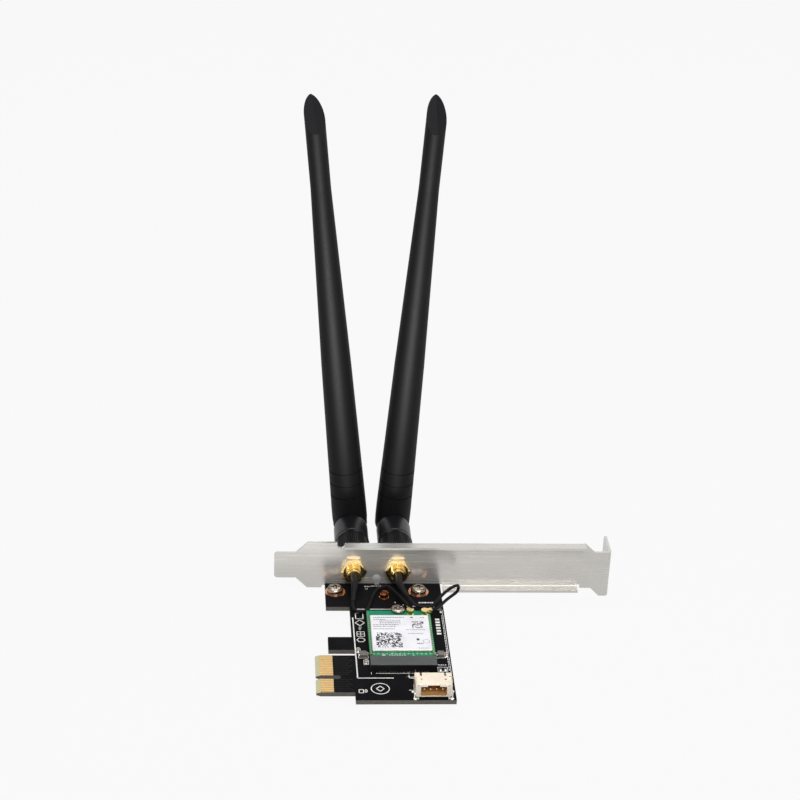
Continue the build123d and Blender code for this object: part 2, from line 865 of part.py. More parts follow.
# Chips along the board's edges: bodies between two solder terminals, running along y
resistor_row = socket_front - resistor_setback
capacitor_row = socket_front - capacitor_setback
coil_row = socket_front - coil_setback
right_row = module_right + chip_gap
left_row = module_left - chip_gap
capacitor_spots = [
    (left_row - chip_width / 2, -capacitor_row),
    (right_row + coil_width + chip_gap, -coil_row),
    (left_row - coil_width - chip_width / 2, -coil_row + coil_width / 2 + chip_length),
]
resistor_spots = [
    (right_row + chip_width / 2, -resistor_row),
    (right_row + chip_width * 1.5 + chip_gap, -resistor_row),
    (board_right - chip_gap - chip_width / 2, -corner_chip_row),
]
coil_spots = [(left_row - coil_width / 2, -coil_row), (right_row + coil_width / 2, -coil_row)]
chip_body = chip_length - 2 * chip_terminal
for label, spots, height in (
    ("chip_capacitors", capacitor_spots, capacitor_height),
    ("chip_resistors", resistor_spots, chip_height),
):
    with BuildPart() as chips:
        with BuildSketch(level(0)):
            with Locations(*spots):
                Rectangle(chip_width, chip_body)
        extrude(amount=height)
    keep(chips.part, label)

with BuildPart() as chip_terminals:
    for spots, height in ((capacitor_spots, capacitor_height), (resistor_spots, chip_height)):
        with BuildSketch(level(0)):
            with Locations(*spots):
                with GridLocations(1, chip_body + chip_terminal, 1, 2):
                    Rectangle(chip_width, chip_terminal)
        extrude(amount=height)
keep(chip_terminals.part, "chip_terminals")

with BuildPart() as power_coils:
    with BuildSketch(level(0)):
        with Locations(*coil_spots):
            RectangleRounded(coil_width, coil_width, coil_corner)
    extrude(amount=coil_height)
    chamfer(power_coils.edges().group_by(Axis.Z)[-1], coil_edge)
keep(power_coils.part, "power_coils")

with BuildPart() as status_lamp:
    with BuildSketch(level(0)):
        with Locations((light_x, -lamp_from_face)):
            Rectangle(lamp_width, lamp_depth)
    extrude(amount=lamp_height)
keep(status_lamp.part, "status_lamp")

# Antennas
for name, x in sma_x.items():
    turn = radians(lean[name])
    mast_way = Vector(sin(turn), 0, cos(turn))
    pivot_way = Vector(cos(turn), 0, -sin(turn))
    hinge = spot(x, hinge_y, sma_rise)
    hinge_plane = Plane(hinge, x_dir=(0, 1, 0), z_dir=pivot_way)
    mast_plane = Plane(hinge, x_dir=pivot_way, z_dir=(0, -1, 0))
    mast_axis = Axis(hinge, mast_way)

    with BuildPart() as collar:
        rod(x, rim_from, collar_end, collar_size / 2)
        chamfer(collar.edges().group_by(Axis.Y)[-1], collar_edge)
        with BuildSketch(axial(x, sheet + collar_from)):
            Circle(collar_size / 2)
            with PolarLocations(collar_size / 2, groove_count):
                Rectangle(groove_side, groove_side, rotation=45, mode=Mode.SUBTRACT)
        extrude(amount=collar_length - collar_rim)
        rod(x, sheet + collar_from, collar_floor, collar_bore / 2, Mode.SUBTRACT)
        rod(x, collar_floor, collar_end, stem_size / 2 + swivel_clearance, Mode.SUBTRACT)
    keep(collar.part, f"{name}_collar")

    with BuildPart() as thread_insert:
        insert_start = sheet + collar_from + insert_from
        insert_end = insert_start + insert_length
        rod(x, insert_start, insert_end, collar_bore / 2)
        rod(x, insert_start, insert_end, thread_size / 2 + thread_clearance, Mode.SUBTRACT)
    keep(thread_insert.part, f"{name}_thread_insert")

    with BuildPart() as fork:
        rod(x, drum_from, drum_to, drum_radius)
        chamfer(fork.edges().filter_by(GeomType.CIRCLE), drum_chamfer)
        with BuildSketch(hinge_plane):
            Circle(tine_radius)
            span(drum_to - hinge_y, 0, -tine_radius, tine_radius)
        extrude(amount=tine_spread / 2, both=True)
        with BuildSketch(hinge_plane):
            span(drum_to - hinge_y, tine_radius, -tine_radius, tine_radius)
        extrude(amount=tine_gap / 2, both=True, mode=Mode.SUBTRACT)
        with BuildSketch(hinge_plane):
            Circle(pivot_size / 2)
        extrude(amount=tine_spread, both=True, mode=Mode.SUBTRACT)
        rod(x, keeper_from, drum_from, stem_size / 2)
        rod(x, keeper_from, keeper_from + keeper_thickness, keeper_size / 2)
        rod(x, keeper_from, sheet + plug_insulator_to, plug_insulator_size / 2, Mode.SUBTRACT)
        rod(x, keeper_from, hinge_y, contact_size / 2, Mode.SUBTRACT)
    keep(fork.part, f"{name}_fork")

    with BuildPart() as plug_insulator:
        rod(x, sheet + plug_insulator_from, sheet + plug_insulator_to, plug_insulator_size / 2)
        rod(x, sheet + plug_insulator_from, sheet + plug_insulator_to, contact_size / 2, Mode.SUBTRACT)
    keep(plug_insulator.part, f"{name}_plug_insulator")

    with BuildPart() as plug_contact:
        contact_start = sheet + plug_insulator_from
        rod(x, contact_start, sheet + contact_to, contact_size / 2)
        rod(x, contact_start, contact_start + socket_depth, pin_size / 2 + socket_clearance, Mode.SUBTRACT)
    keep(plug_contact.part, f"{name}_plug_contact")

    with BuildPart() as pivots:
        pivot_inner = tine_gap / 2
        pivot_to = mast_base_radius - pivot_recess
        for way in (1, -1):
            pivot_from = hinge + pivot_way * pivot_inner * way
            with BuildSketch(Plane(pivot_from, x_dir=(0, 1, 0), z_dir=pivot_way * way)):
                Circle(pivot_size / 2)
            extrude(amount=pivot_to - pivot_inner)
    keep(pivots.part, f"{name}_pivots")

    # Mast: a tapered round with a ball at its lower end, slotted in front and below for the fork
    with BuildPart() as mast:
        slope = (mast_knee_radius - mast_base_radius) / (mast_knee - mast_shoulder)
        with BuildSketch(mast_plane):
            with BuildLine():
                CenterArc((0, 0), mast_base_radius, -90, 90)
                Polyline(
                    (mast_base_radius, 0),
                    (mast_base_radius, mast_shoulder),
                    (mast_knee_radius, mast_knee),
                    (mast_top_radius, mast_neck),
                    (mast_top_radius, mast_length),
                    (0, mast_length),
                    (0, -mast_base_radius),
                )
            make_face()
        revolve(axis=mast_axis)
        with BuildSketch(hinge_plane):
            Circle(tine_slot_radius)
            span(-mast_base_radius, 0, -mast_base_radius, tine_slot_radius)
            span(0, tine_slot_radius, -mast_base_radius, 0)
        extrude(amount=tine_spread / 2 + tine_clearance, both=True, mode=Mode.SUBTRACT)
        with BuildSketch(mast_plane):
            for place in ring_places:
                radius = mast_base_radius + slope * (place - mast_shoulder)
                span(radius - ring_depth, radius + ring_width, place - ring_width / 2, place + ring_width / 2)
        revolve(axis=mast_axis, mode=Mode.SUBTRACT)
        with BuildSketch(mast_plane):
            with BuildLine():
                Polyline(
                    (0, mast_bore_from),
                    (mast_bore_base_radius, mast_bore_from),
                    (mast_bore_top_radius, mast_bore_to),
                    (0, mast_bore_to),
                    close=True,
                )
            make_face()
        revolve(axis=mast_axis, mode=Mode.SUBTRACT)
        with BuildSketch(Plane(hinge, x_dir=pivot_way, z_dir=mast_way)):
            Circle(feed_size / 2)
        extrude(amount=mast_bore_from, mode=Mode.SUBTRACT)
        with BuildSketch(hinge_plane):
            Circle(pivot_size / 2 + pivot_clearance)
        extrude(amount=mast_base_radius, both=True, mode=Mode.SUBTRACT)
        front = Vector(0, -1, 0).rotate(Axis((0, 0, 0), mast_way), tip_facet_yaw)
        across = mast_way.cross(front)
        ridge_low = hinge + mast_way * tip_facet_from + front * mast_top_radius
        ridge_high = hinge + mast_way * mast_length - front * mast_top_radius
        ridge_way = (ridge_high - ridge_low).normalized()
        facing = across.cross(ridge_way)
        for way in (1, -1):
            facet = facing.rotate(Axis((0, 0, 0), ridge_way), way * tip_facet_turn)
            split(bisect_by=Plane(ridge_low, x_dir=ridge_way, z_dir=facet), keep=Keep.BOTTOM)
    keep(mast.part, f"{name}_mast")

    with BuildPart() as feed_coax:
        with BuildSketch(Plane(hinge + mast_way * feed_from, x_dir=pivot_way, z_dir=mast_way)):
            Circle(feed_size / 2)
        extrude(amount=feed_to - feed_from)
    keep(feed_coax.part, f"{name}_feed_coax")

    with BuildPart() as balun:
        with BuildSketch(Plane(hinge + mast_way * balun_from, x_dir=pivot_way, z_dir=mast_way)):
            Circle(balun_size / 2)
            Circle(feed_size / 2, mode=Mode.SUBTRACT)
        extrude(amount=balun_to - balun_from)
    keep(balun.part, f"{name}_balun")

    with BuildPart() as radiator:
        with BuildSketch(Plane(hinge + mast_way * feed_to, x_dir=pivot_way, z_dir=mast_way)):
            Circle(radiator_size / 2)
        extrude(amount=radiator_to - feed_to)
    keep(radiator.part, f"{name}_radiator")
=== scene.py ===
"""Looks of a wireless network card: leads, screws, print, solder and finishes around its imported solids."""

import json
import math

import bmesh
import bpy
import numpy as np
from bpy.props import FloatProperty, FloatVectorProperty, IntProperty, PointerProperty
from mathutils import Matrix, Vector


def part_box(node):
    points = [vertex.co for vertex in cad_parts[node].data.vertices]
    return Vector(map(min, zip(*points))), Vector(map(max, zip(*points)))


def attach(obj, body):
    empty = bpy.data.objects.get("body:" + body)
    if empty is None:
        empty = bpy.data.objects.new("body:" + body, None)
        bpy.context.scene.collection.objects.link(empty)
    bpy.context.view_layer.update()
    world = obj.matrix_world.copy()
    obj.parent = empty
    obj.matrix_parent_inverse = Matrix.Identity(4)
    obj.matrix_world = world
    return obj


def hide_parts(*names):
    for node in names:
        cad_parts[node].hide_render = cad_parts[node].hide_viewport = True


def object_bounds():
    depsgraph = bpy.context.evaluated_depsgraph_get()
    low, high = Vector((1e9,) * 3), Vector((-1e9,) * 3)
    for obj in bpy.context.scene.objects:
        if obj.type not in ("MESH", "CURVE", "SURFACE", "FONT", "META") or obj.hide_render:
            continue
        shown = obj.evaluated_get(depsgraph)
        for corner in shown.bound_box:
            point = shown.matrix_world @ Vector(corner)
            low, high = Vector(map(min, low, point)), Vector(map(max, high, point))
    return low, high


bl_info = {
    "name": "Network card dresser",
    "version": (1, 0, 0),
    "blender": (4, 5, 0),
    "location": "3D View > Sidebar > Network card",
    "description": "Adds leads, screws, print, solder and finishes to the solids of a wireless network card",
    "category": "Object",
}

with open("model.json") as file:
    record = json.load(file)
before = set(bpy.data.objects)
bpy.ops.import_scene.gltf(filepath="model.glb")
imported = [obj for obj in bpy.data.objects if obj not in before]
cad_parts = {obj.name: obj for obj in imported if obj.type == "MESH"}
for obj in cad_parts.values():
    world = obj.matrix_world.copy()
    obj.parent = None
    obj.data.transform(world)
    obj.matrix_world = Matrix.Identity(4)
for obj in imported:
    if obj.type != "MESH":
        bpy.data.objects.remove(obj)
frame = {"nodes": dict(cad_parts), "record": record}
SOLID_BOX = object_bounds()
NODES = frame["nodes"]
SLOT_OF = {part["node"]: part["material_slot"] for part in frame["record"]["subparts"]}

# Working millimetres start at the bracket's tab and the board's top.
# This shift takes them to the part's frame.
DATUM = np.array([-119.12, -7.25, -0.3])

# Routes of the leads, the same points as the solids have, with one point more on each sleeve's straight run.
SLEEVES = {
    "left": [(28.15, -5.0, 5.56), (28.15, -7.2, 5.56), (28.15, -9.9, 5.56), (27.35, -16.3, 2.6)],
    "right": [(43.8, -5.0, 5.56), (43.8, -7.2, 5.56), (43.8, -9.9, 5.56), (46.4, -17.6, 5.25)],
}
CABLES = {
    "left": [
        (27.35, -16.3, 2.6),
        (27.023, -18.915, 1.39),
        (29.7, -20.3, 0.62),
        (32.3, -18.9, 0.65),
        (33.3, -15.8, 1.0),
        (34.3, -11.6, 1.5),
        (36.4, -7.55, 2.3),
        (39.2, -7.1, 3.2),
        (41.2, -9.6, 3.65),
        (42.8, -13.0, 3.8),
        (44.6, -16.4, 3.65),
        (45.85, -18.55, 3.15),
        (46.2796, -20.6526, 3.15),
    ],
    "right": [
        (46.4, -17.6, 5.25),
        (47.327, -20.346, 5.139),
        (49.6, -21.2, 3.7),
        (54.3, -21.05, 3.3),
        (56.3, -18.9, 4.4),
        (58.7, -15.6, 5.3),
        (61.8, -12.1, 5.65),
        (64.3, -9.9, 5.5),
        (64.9, -9.25, 4.0),
        (64.3, -9.9, 2.5),
        (62.2, -12.3, 2.45),
        (60.2, -14.9, 2.55),
        (58.0, -18.6, 2.8),
        (56.3, -21.8, 3.15),
        (54.3435, -22.5115, 3.15),
    ],
}

# Moulded and cut parts whose sharp edges are broken, with the width of the break in millimetres.
BROKEN_EDGES = {
    "header_housing": 0.14,
    "m2_socket": 0.1,
    "chip_capacitors": 0.06,
    "chip_resistors": 0.05,
    "chip_terminals": 0.05,
    "header_pins": 0.08,
    "header_lugs": 0.06,
}

# Solids whose finish differs from that of their slot.
OWN_FINISH = {
    "edge_contacts": "contact_gold",
    "left_collar": "collar_plastic",
    "right_collar": "collar_plastic",
    "left_fork": "collar_plastic",
    "right_fork": "collar_plastic",
}

# The tongue, in metres of the part's frame: bare laminate at x below TONGUE_TO and y below TONGUE_FROM,
# and its ground bevel at x below BEVEL_TO.
TONGUE_TO = -0.09977
TONGUE_FROM = -0.05275
BEVEL_TO = -0.10402


# Sizes and colours that the user may change


def linear(code):
    """An sRGB hex value as a linear colour with alpha."""
    part = np.array([int(code[i : i + 2], 16) for i in (1, 3, 5)]) / 255
    part = np.where(part <= 0.04045, part / 12.92, ((part + 0.055) / 1.055) ** 2.4)
    return (*map(float, part), 1.0)


def tint(name, description, code):
    """A colour that the user may change."""
    return FloatVectorProperty(
        name=name, description=description, subtype="COLOR", size=4, min=0, max=1, default=linear(code)
    )


def reach(name, description, default):
    """A length in metres that the user may change."""
    return FloatProperty(
        name=name, description=description, default=default, min=0, unit="LENGTH", precision=5
    )


class CardSizes(bpy.types.PropertyGroup):
    """Sizes of what the scene adds to the solids."""

    cable: reach("Cable", "Outer diameter of the thin coax leads", 0.00113)
    sleeve: reach("Sleeve", "Outer diameter of the heat-shrink sleeves", 0.0025)
    ink: reach("Ink", "Thickness of the printed ink", 0.00002)
    track: reach("Track", "Width of the copper tracks under the mask", 0.00025)
    dot: reach("Dot", "Side of one dot in the printed patterns", 0.00044)
    seed: IntProperty(name="Seed", description="Start of the random print", default=7)


class CardColours(bpy.types.PropertyGroup):
    """Colours of the finishes, as they are in daylight."""

    board: tint("Board", "Black solder mask", "#151517")
    laminate: tint("Laminate", "Cut edge of the glass-epoxy board", "#7E7A74")
    legend: tint("Legend", "White board ink", "#E9E8E4")
    module: tint("Module", "Green solder mask of the radio module", "#0A8560")
    label: tint("Label", "White print film", "#F0EFF4")
    ink: tint("Ink", "Black thermal print", "#2A2A2E")
    steel: tint("Steel", "Nickel-plated bracket", "#D2CFCA")
    gold: tint("Gold", "Gold plate on brass", "#F2D698")
    contact: tint("Contact", "Hard gold on the edge contacts", "#F2CB8E")
    antenna: tint("Antenna", "Black antenna moulding", "#18181A")
    nylon: tint("Nylon", "Ivory cable header", "#F3E7D3")


# Materials

# Sockets 1 and 2 of a Map Range node: the limits between which most of a noise lies.
NOISE = {1: 0.3, 2: 0.7}

# Settings of a Mix node that multiplies two colours.
MULTIPLY = {"data_type": "RGBA", "blend_type": "MULTIPLY"}


def per(mm):
    """Repeats in a metre of a pattern whose features are that many millimetres apart."""
    return 1000.0 / mm


def add(tree, kind, sockets=None, **settings):
    """Adds a node. Settings are its own values; sockets are its inputs, each a value or an output to link."""
    node = tree.nodes.new("ShaderNode" + kind)
    for key, value in settings.items():
        setattr(node, key, value)
    for key, value in (sockets or {}).items():
        if isinstance(value, bpy.types.NodeSocket):
            tree.links.new(value, node.inputs[key])
        else:
            node.inputs[key].default_value = value
    return node


def begin(name):
    """A new material, its empty tree, and the object coordinates that its patterns follow."""
    material = bpy.data.materials.new(name)
    material.use_nodes = True
    tree = material.node_tree
    tree.nodes.clear()
    return material, tree, add(tree, "TexCoord").outputs["Object"]


def close(tree, colour, roughness, normal, sockets):
    """Ends a tree with one principled surface, its constant values on the surface's own sockets."""
    inputs = {"Base Color": colour, "Roughness": roughness, "Normal": normal, **sockets}
    surface = add(tree, "BsdfPrincipled", inputs)
    add(tree, "OutputMaterial", {"Surface": surface.outputs["BSDF"]})


def rolled_nickel_steel(colour):
    """Cold-rolled steel under satin nickel: a soft blurred mirror, streaked along the rolling direction."""
    material, tree, place = begin("satin_nickel_on_rolled_steel")
    # rolling streaks about half a millimetre apart and 25 mm long
    pulled = add(tree, "Mapping", {"Vector": place, "Scale": (per(25), per(0.5), per(0.5))})
    streak = add(tree, "TexNoise", {"Vector": pulled.outputs[0], "Scale": 1.0, "Detail": 4.0})
    # clouds of duller plate about 14 mm wide
    cloud = add(tree, "TexNoise", {"Vector": place, "Scale": per(14), "Detail": 3.0})
    tone = add(tree, "MapRange", {0: cloud.outputs[0], **NOISE, 3: 0.94, 4: 1.03})
    shade = add(tree, "Mix", {0: 1.0, 6: colour, 7: tone.outputs[0]}, **MULTIPLY)
    rough = add(tree, "MapRange", {0: streak.outputs[0], **NOISE, 3: 0.2, 4: 0.29})
    bump = add(tree, "Bump", {"Strength": 0.06, "Distance": 0.00002, "Height": streak.outputs[0]})
    close(tree, shade.outputs[2], rough.outputs[0], bump.outputs[0], {"Metallic": 0.55})
    return material


def masked_board(name, mask, edge, roughness, gloss, tongue_to=-1.0, bevel_to=-1.0, tongue_from=-1.0):
    """Glass epoxy under solder mask: satin lacquer with orange peel, bare woven layers on the cut edges.

    The mask stops short of the tongue: at x below tongue_to, for y below tongue_from, the bare tan laminate
    shows, and at x below bevel_to the ground bevel is paler.
    """
    material, tree, place = begin(name)
    facing = add(tree, "SeparateXYZ", {0: add(tree, "NewGeometry").outputs["True Normal"]})
    steep = add(tree, "Math", {0: facing.outputs[2]}, operation="ABSOLUTE")
    on_face = add(tree, "Math", {0: steep.outputs[0], 1: 0.5}, operation="GREATER_THAN")
    # glass cloth layers 0.2 mm thick, with bundles of yarn about 1.1 mm wide
    layers = add(tree, "Mapping", {"Vector": place, "Scale": (per(1.1), per(1.1), per(0.2))})
    weave = add(tree, "TexNoise", {"Vector": layers.outputs[0], "Scale": 1.0, "Detail": 3.0})
    cut = add(tree, "MapRange", {0: weave.outputs[0], **NOISE, 3: 0.72, 4: 1.12})
    bare = add(tree, "Mix", {0: 1.0, 6: edge, 7: cut.outputs[0]}, **MULTIPLY)
    # orange peel of the lacquer about 0.45 mm wide, and a slow drift of its tone
    peel = add(tree, "TexNoise", {"Vector": place, "Scale": per(0.45), "Detail": 2.0})
    drift = add(tree, "TexNoise", {"Vector": place, "Scale": per(9), "Detail": 2.0})
    wash = add(tree, "MapRange", {0: drift.outputs[0], **NOISE, 3: 0.85, 4: 1.2})
    lacquer = add(tree, "Mix", {0: 1.0, 6: mask, 7: wash.outputs[0]}, **MULTIPLY)
    # where the mask stops, tan laminate, and pale resin on its bevel
    where = add(tree, "SeparateXYZ", {0: place})
    short = add(tree, "Math", {0: where.outputs[0], 1: tongue_to}, operation="LESS_THAN")
    front = add(tree, "Math", {0: where.outputs[1], 1: tongue_from}, operation="LESS_THAN")
    tongue = add(tree, "Math", {0: short.outputs[0], 1: front.outputs[0]}, operation="MULTIPLY")
    tip = add(tree, "Math", {0: where.outputs[0], 1: bevel_to}, operation="LESS_THAN")
    resins = {0: tip.outputs[0], 6: linear("#BFA268"), 7: linear("#CEC8A0")}
    resin = add(tree, "Mix", resins, data_type="RGBA")
    faces = {0: tongue.outputs[0], 6: lacquer.outputs[2], 7: resin.outputs[2]}
    top = add(tree, "Mix", faces, data_type="RGBA")
    both = add(tree, "Mix", {0: on_face.outputs[0], 6: bare.outputs[2], 7: top.outputs[2]}, data_type="RGBA")
    rough = add(tree, "MapRange", {0: on_face.outputs[0], 3: 0.75, 4: roughness})
    bump = add(tree, "Bump", {"Strength": 0.15, "Distance": 0.00003, "Height": peel.outputs[0]})
    close(tree, both.outputs[2], rough.outputs[0], bump.outputs[0], {"Specular IOR Level": gloss})
    return material


def plated(name, colour, roughness, spread, grain, stretch=(1, 1, 1), metal=1.0):
    """Plate or bare metal: one metal colour, with handling marks as patches of duller and brighter plate.

    A metal share below one is plate so finely scratched that part of it scatters the light.
    """
    material, tree, place = begin(name)
    pulled = add(tree, "Mapping", {"Vector": place, "Scale": tuple(per(grain) * s for s in stretch)})
    marks = add(tree, "TexNoise", {"Vector": pulled.outputs[0], "Scale": 1.0, "Detail": 5.0})
    tone = add(tree, "MapRange", {0: marks.outputs[0], **NOISE, 3: 0.86, 4: 1.05})
    shade = add(tree, "Mix", {0: 1.0, 6: colour, 7: tone.outputs[0]}, **MULTIPLY)
    rough = add(tree, "MapRange", {0: marks.outputs[0], **NOISE, 3: roughness, 4: roughness + spread})
    bump = add(tree, "Bump", {"Strength": 0.08, "Distance": 0.00002, "Height": marks.outputs[0]})
    close(tree, shade.outputs[2], rough.outputs[0], bump.outputs[0], {"Metallic": metal})
    return material


def within_box(tree, place, low, high):
    """One between two corners given in working millimetres, nothing elsewhere."""
    middle = (np.add(low, high) / 2 + DATUM) / 1000
    half = np.subtract(high, low) / 2000
    from_middle = add(tree, "VectorMath", {0: place, 1: middle.tolist()}, operation="SUBTRACT")
    away = add(tree, "VectorMath", {0: from_middle.outputs[0]}, operation="ABSOLUTE")
    axes = add(tree, "SeparateXYZ", {0: away.outputs[0]})
    limits = [{0: axes.outputs[i], 1: float(half[i])} for i in range(3)]
    kept = [add(tree, "Math", limit, operation="LESS_THAN") for limit in limits]
    flat = add(tree, "Math", {0: kept[0].outputs[0], 1: kept[1].outputs[0]}, operation="MULTIPLY")
    return add(tree, "Math", {0: flat.outputs[0], 1: kept[2].outputs[0]}, operation="MULTIPLY").outputs[0]


def moulded(name, colour, roughness, grain, depth, shade_box=None, **sockets):
    """Moulded plastic, rubber, ink or fired ceramic: pits of mould or grit, and a faint drift of tone.

    A shade box, given by its low and high corners, is a part of the moulding painted another colour that
    stands for shade.
    """
    material, tree, place = begin(name)
    # painted shade: inside the shade box the moulding takes the darker colour
    if shade_box:
        low, high, other = shade_box
        within = within_box(tree, place, low, high)
        colour = add(tree, "Mix", {0: within, 6: colour, 7: other}, data_type="RGBA").outputs[2]
    pits = add(tree, "TexNoise", {"Vector": place, "Scale": per(grain), "Detail": 3.0})
    drift = add(tree, "TexNoise", {"Vector": place, "Scale": per(grain * 18), "Detail": 2.0})
    tone = add(tree, "MapRange", {0: drift.outputs[0], **NOISE, 3: 0.9, 4: 1.08})
    shade = add(tree, "Mix", {0: 1.0, 6: colour, 7: tone.outputs[0]}, **MULTIPLY)
    rough = add(tree, "MapRange", {0: pits.outputs[0], **NOISE, 3: roughness - 0.05, 4: roughness + 0.07})
    bump = add(tree, "Bump", {"Strength": depth, "Distance": 0.00003, "Height": pits.outputs[0]})
    constants = {key.replace("_", " "): value for key, value in sockets.items()}
    close(tree, shade.outputs[2], rough.outputs[0], bump.outputs[0], constants)
    return material


def finishes():
    """How each material slot and each finish of the scene is made."""
    colours = bpy.context.scene.card_colours
    return {
        # soft grey mirror, streaked by the rolls
        "nickel_steel": lambda: rolled_nickel_steel(colours.steel),
        # near-black lacquer, grey fibre edge, tan tongue with a pale bevel
        "solder_mask": lambda: masked_board(
            "black_mask_on_glass_epoxy",
            colours.board,
            colours.laminate,
            roughness=0.5,
            gloss=0.012,
            tongue_to=TONGUE_TO,
            bevel_to=BEVEL_TO,
            tongue_from=TONGUE_FROM,
        ),
        # deep green lacquer, pale green edge
        "green_mask": lambda: masked_board(
            "green_mask_on_glass_epoxy", colours.module, linear("#8FA07A"), roughness=0.4, gloss=0.2
        ),
        # turned brass under gold: bright facets and dark reflections
        "gold_plate": lambda: plated(
            "gold_plate_on_turned_brass", colours.gold, roughness=0.1, spread=0.08, grain=0.6
        ),
        # hard gold over nickel: paler and silkier, wiped along the insertion
        "contact_gold": lambda: plated(
            "hard_gold_on_copper_pads",
            colours.contact,
            roughness=0.26,
            spread=0.14,
            grain=0.3,
            stretch=(0.15, 1, 1),
            metal=0.35,
        ),
        # pink-brown bare metal
        "copper_plate": lambda: plated(
            "bare_copper_plate", linear("#B88263"), roughness=0.2, spread=0.14, grain=0.8
        ),
        # zinc on cold-headed screws, its colour darkened and warmed as a painted reflection of the copper pad
        # and the black board
        "bright_steel": lambda: plated(
            "zinc_on_steel_with_painted_reflection", linear("#938A81"), roughness=0.1, spread=0.12, grain=0.7
        ),
        # frosted tin with dull patches
        "tinned": lambda: plated("reflowed_tin", linear("#CFCDC8"), roughness=0.22, spread=0.22, grain=0.5),
        # tin-plated steel can
        "shield_tin": lambda: plated(
            "tinplate_shield_can", linear("#C6C4BF"), roughness=0.26, spread=0.12, grain=1.6
        ),
        # glass-filled polymer: dark grey, slightly silky; its front face is painted near black as the shade
        # under the roof
        "socket_plastic": lambda: moulded(
            "socket_moulding_with_painted_front_shade",
            linear("#5A5E5D"),
            roughness=0.5,
            grain=0.22,
            depth=0.1,
            # painted shade: a thin box over the socket's front face is coloured near black
            shade_box=((31.0, -55.5, -0.1), (55.0, -55.05, 2.7), linear("#1A1818")),
            Specular_IOR_Level=0.05,
        ),
        # white film with a paper-like grain
        "label_paper": lambda: moulded(
            "thermal_print_film", colours.label, roughness=0.6, grain=0.35, depth=0.05
        ),
        # soft black extrusion
        "cable_jacket": lambda: moulded(
            "extruded_coax_jacket",
            linear("#0E0E10"),
            roughness=0.4,
            grain=0.35,
            depth=0.1,
            Specular_IOR_Level=0.1,
        ),
        # matt shrunk tube, finely wrinkled
        "shrink_sleeve": lambda: moulded(
            "shrunk_polyolefin_sleeve",
            linear("#161618"),
            roughness=0.48,
            grain=0.5,
            depth=0.25,
            Specular_IOR_Level=0.1,
        ),
        # milky fluoropolymer
        "ptfe": lambda: moulded(
            "turned_fluoropolymer", linear("#ECEAE4"), roughness=0.4, grain=0.3, depth=0.05
        ),
        # creamy translucent nylon; inside its shroud a deeper brown is painted as the shade and warm glow of
        # the cavity
        "ivory_nylon": lambda: moulded(
            "ivory_nylon_with_painted_cavity_shade",
            colours.nylon,
            roughness=0.48,
            grain=0.4,
            depth=0.06,
            # painted shade: the box inside the shroud is coloured brown
            shade_box=((46.2, -69.8, 0.6), (56.9, -63.0, 4.6), linear("#B98C55")),
            Subsurface_Weight=0.15,
            Subsurface_Scale=0.0008,
        ),
        # brown fired dielectric
        "chip_ceramic": lambda: moulded(
            "fired_brown_dielectric", linear("#A58B70"), roughness=0.5, grain=0.15, depth=0.1
        ),
        # black glass over white alumina
        "resistor_body": lambda: moulded(
            "glazed_black_resistor", linear("#1D1D20"), roughness=0.3, grain=0.3, depth=0.05
        ),
        # sintered grey-black grit
        "ferrite": lambda: moulded(
            "pressed_ferrite", linear("#6B6763"), roughness=0.55, grain=0.18, depth=0.2
        ),
        # clear cast resin, milky inside
        "lamp_resin": lambda: moulded(
            "cast_lamp_resin", linear("#8A8984"), roughness=0.18, grain=0.5, depth=0.03
        ),
        # frosted grey window that spreads the lamp's light
        "light_window": lambda: moulded(
            "frosted_light_window", linear("#BDBEC0"), roughness=0.45, grain=0.4, depth=0.2
        ),
        # black thermoplastic with spark-eroded grain, drawn coarser than the real 0.1 mm so that it shows
        "antenna_plastic": lambda: moulded(
            "moulded_black_antenna_shell",
            colours.antenna,
            roughness=0.54,
            grain=0.28,
            depth=0.12,
            Specular_IOR_Level=0.08,
        ),
        # harder black plastic of the collar and the fork, polished by handling
        "collar_plastic": lambda: moulded(
            "moulded_black_coupling",
            linear("#171719"),
            roughness=0.32,
            grain=0.28,
            depth=0.08,
            Specular_IOR_Level=0.2,
        ),
        # chalky white epoxy ink
        "legend_ink": lambda: moulded(
            "screen_printed_epoxy_ink", colours.legend, roughness=0.62, grain=0.2, depth=0.2
        ),
        # black thermal dye, broken up by the film's grain
        "label_ink": lambda: moulded(
            "thermal_black_print", colours.ink, roughness=0.6, grain=0.2, depth=0.1
        ),
        # the same dye in fine rows, which look grey
        "label_fine_ink": lambda: moulded(
            "thermal_grey_print", linear("#77777E"), roughness=0.6, grain=0.2, depth=0.1
        ),
        # copper tracks under black lacquer: a little paler and raised
        "masked_copper": lambda: moulded(
            "black_mask_over_copper",
            linear("#1B1A1A"),
            roughness=0.4,
            grain=0.5,
            depth=0.1,
            Specular_IOR_Level=0.1,
        ),
    }


MADE = {}


def finish(key):
    """The material of a slot or a scene finish, made once."""
    if key not in MADE:
        MADE[key] = finishes()[key]()
    return MADE[key]


# Shapes, in working millimetres


def grid_faces(rows, columns, wrap_rows=False, wrap_columns=False):
    """Quads of a grid numbered row by row; a wrapped side joins its last line to its first."""
    row_count = rows if wrap_rows else rows - 1
    column_count = columns if wrap_columns else columns - 1
    row, column = np.meshgrid(np.arange(row_count), np.arange(column_count), indexing="ij")
    next_row = (row + 1) % rows
    next_column = (column + 1) % columns
    corners = [(row, column), (row, next_column), (next_row, next_column), (next_row, column)]
    return np.stack([r * columns + c for r, c in corners], -1).reshape(-1, 4)


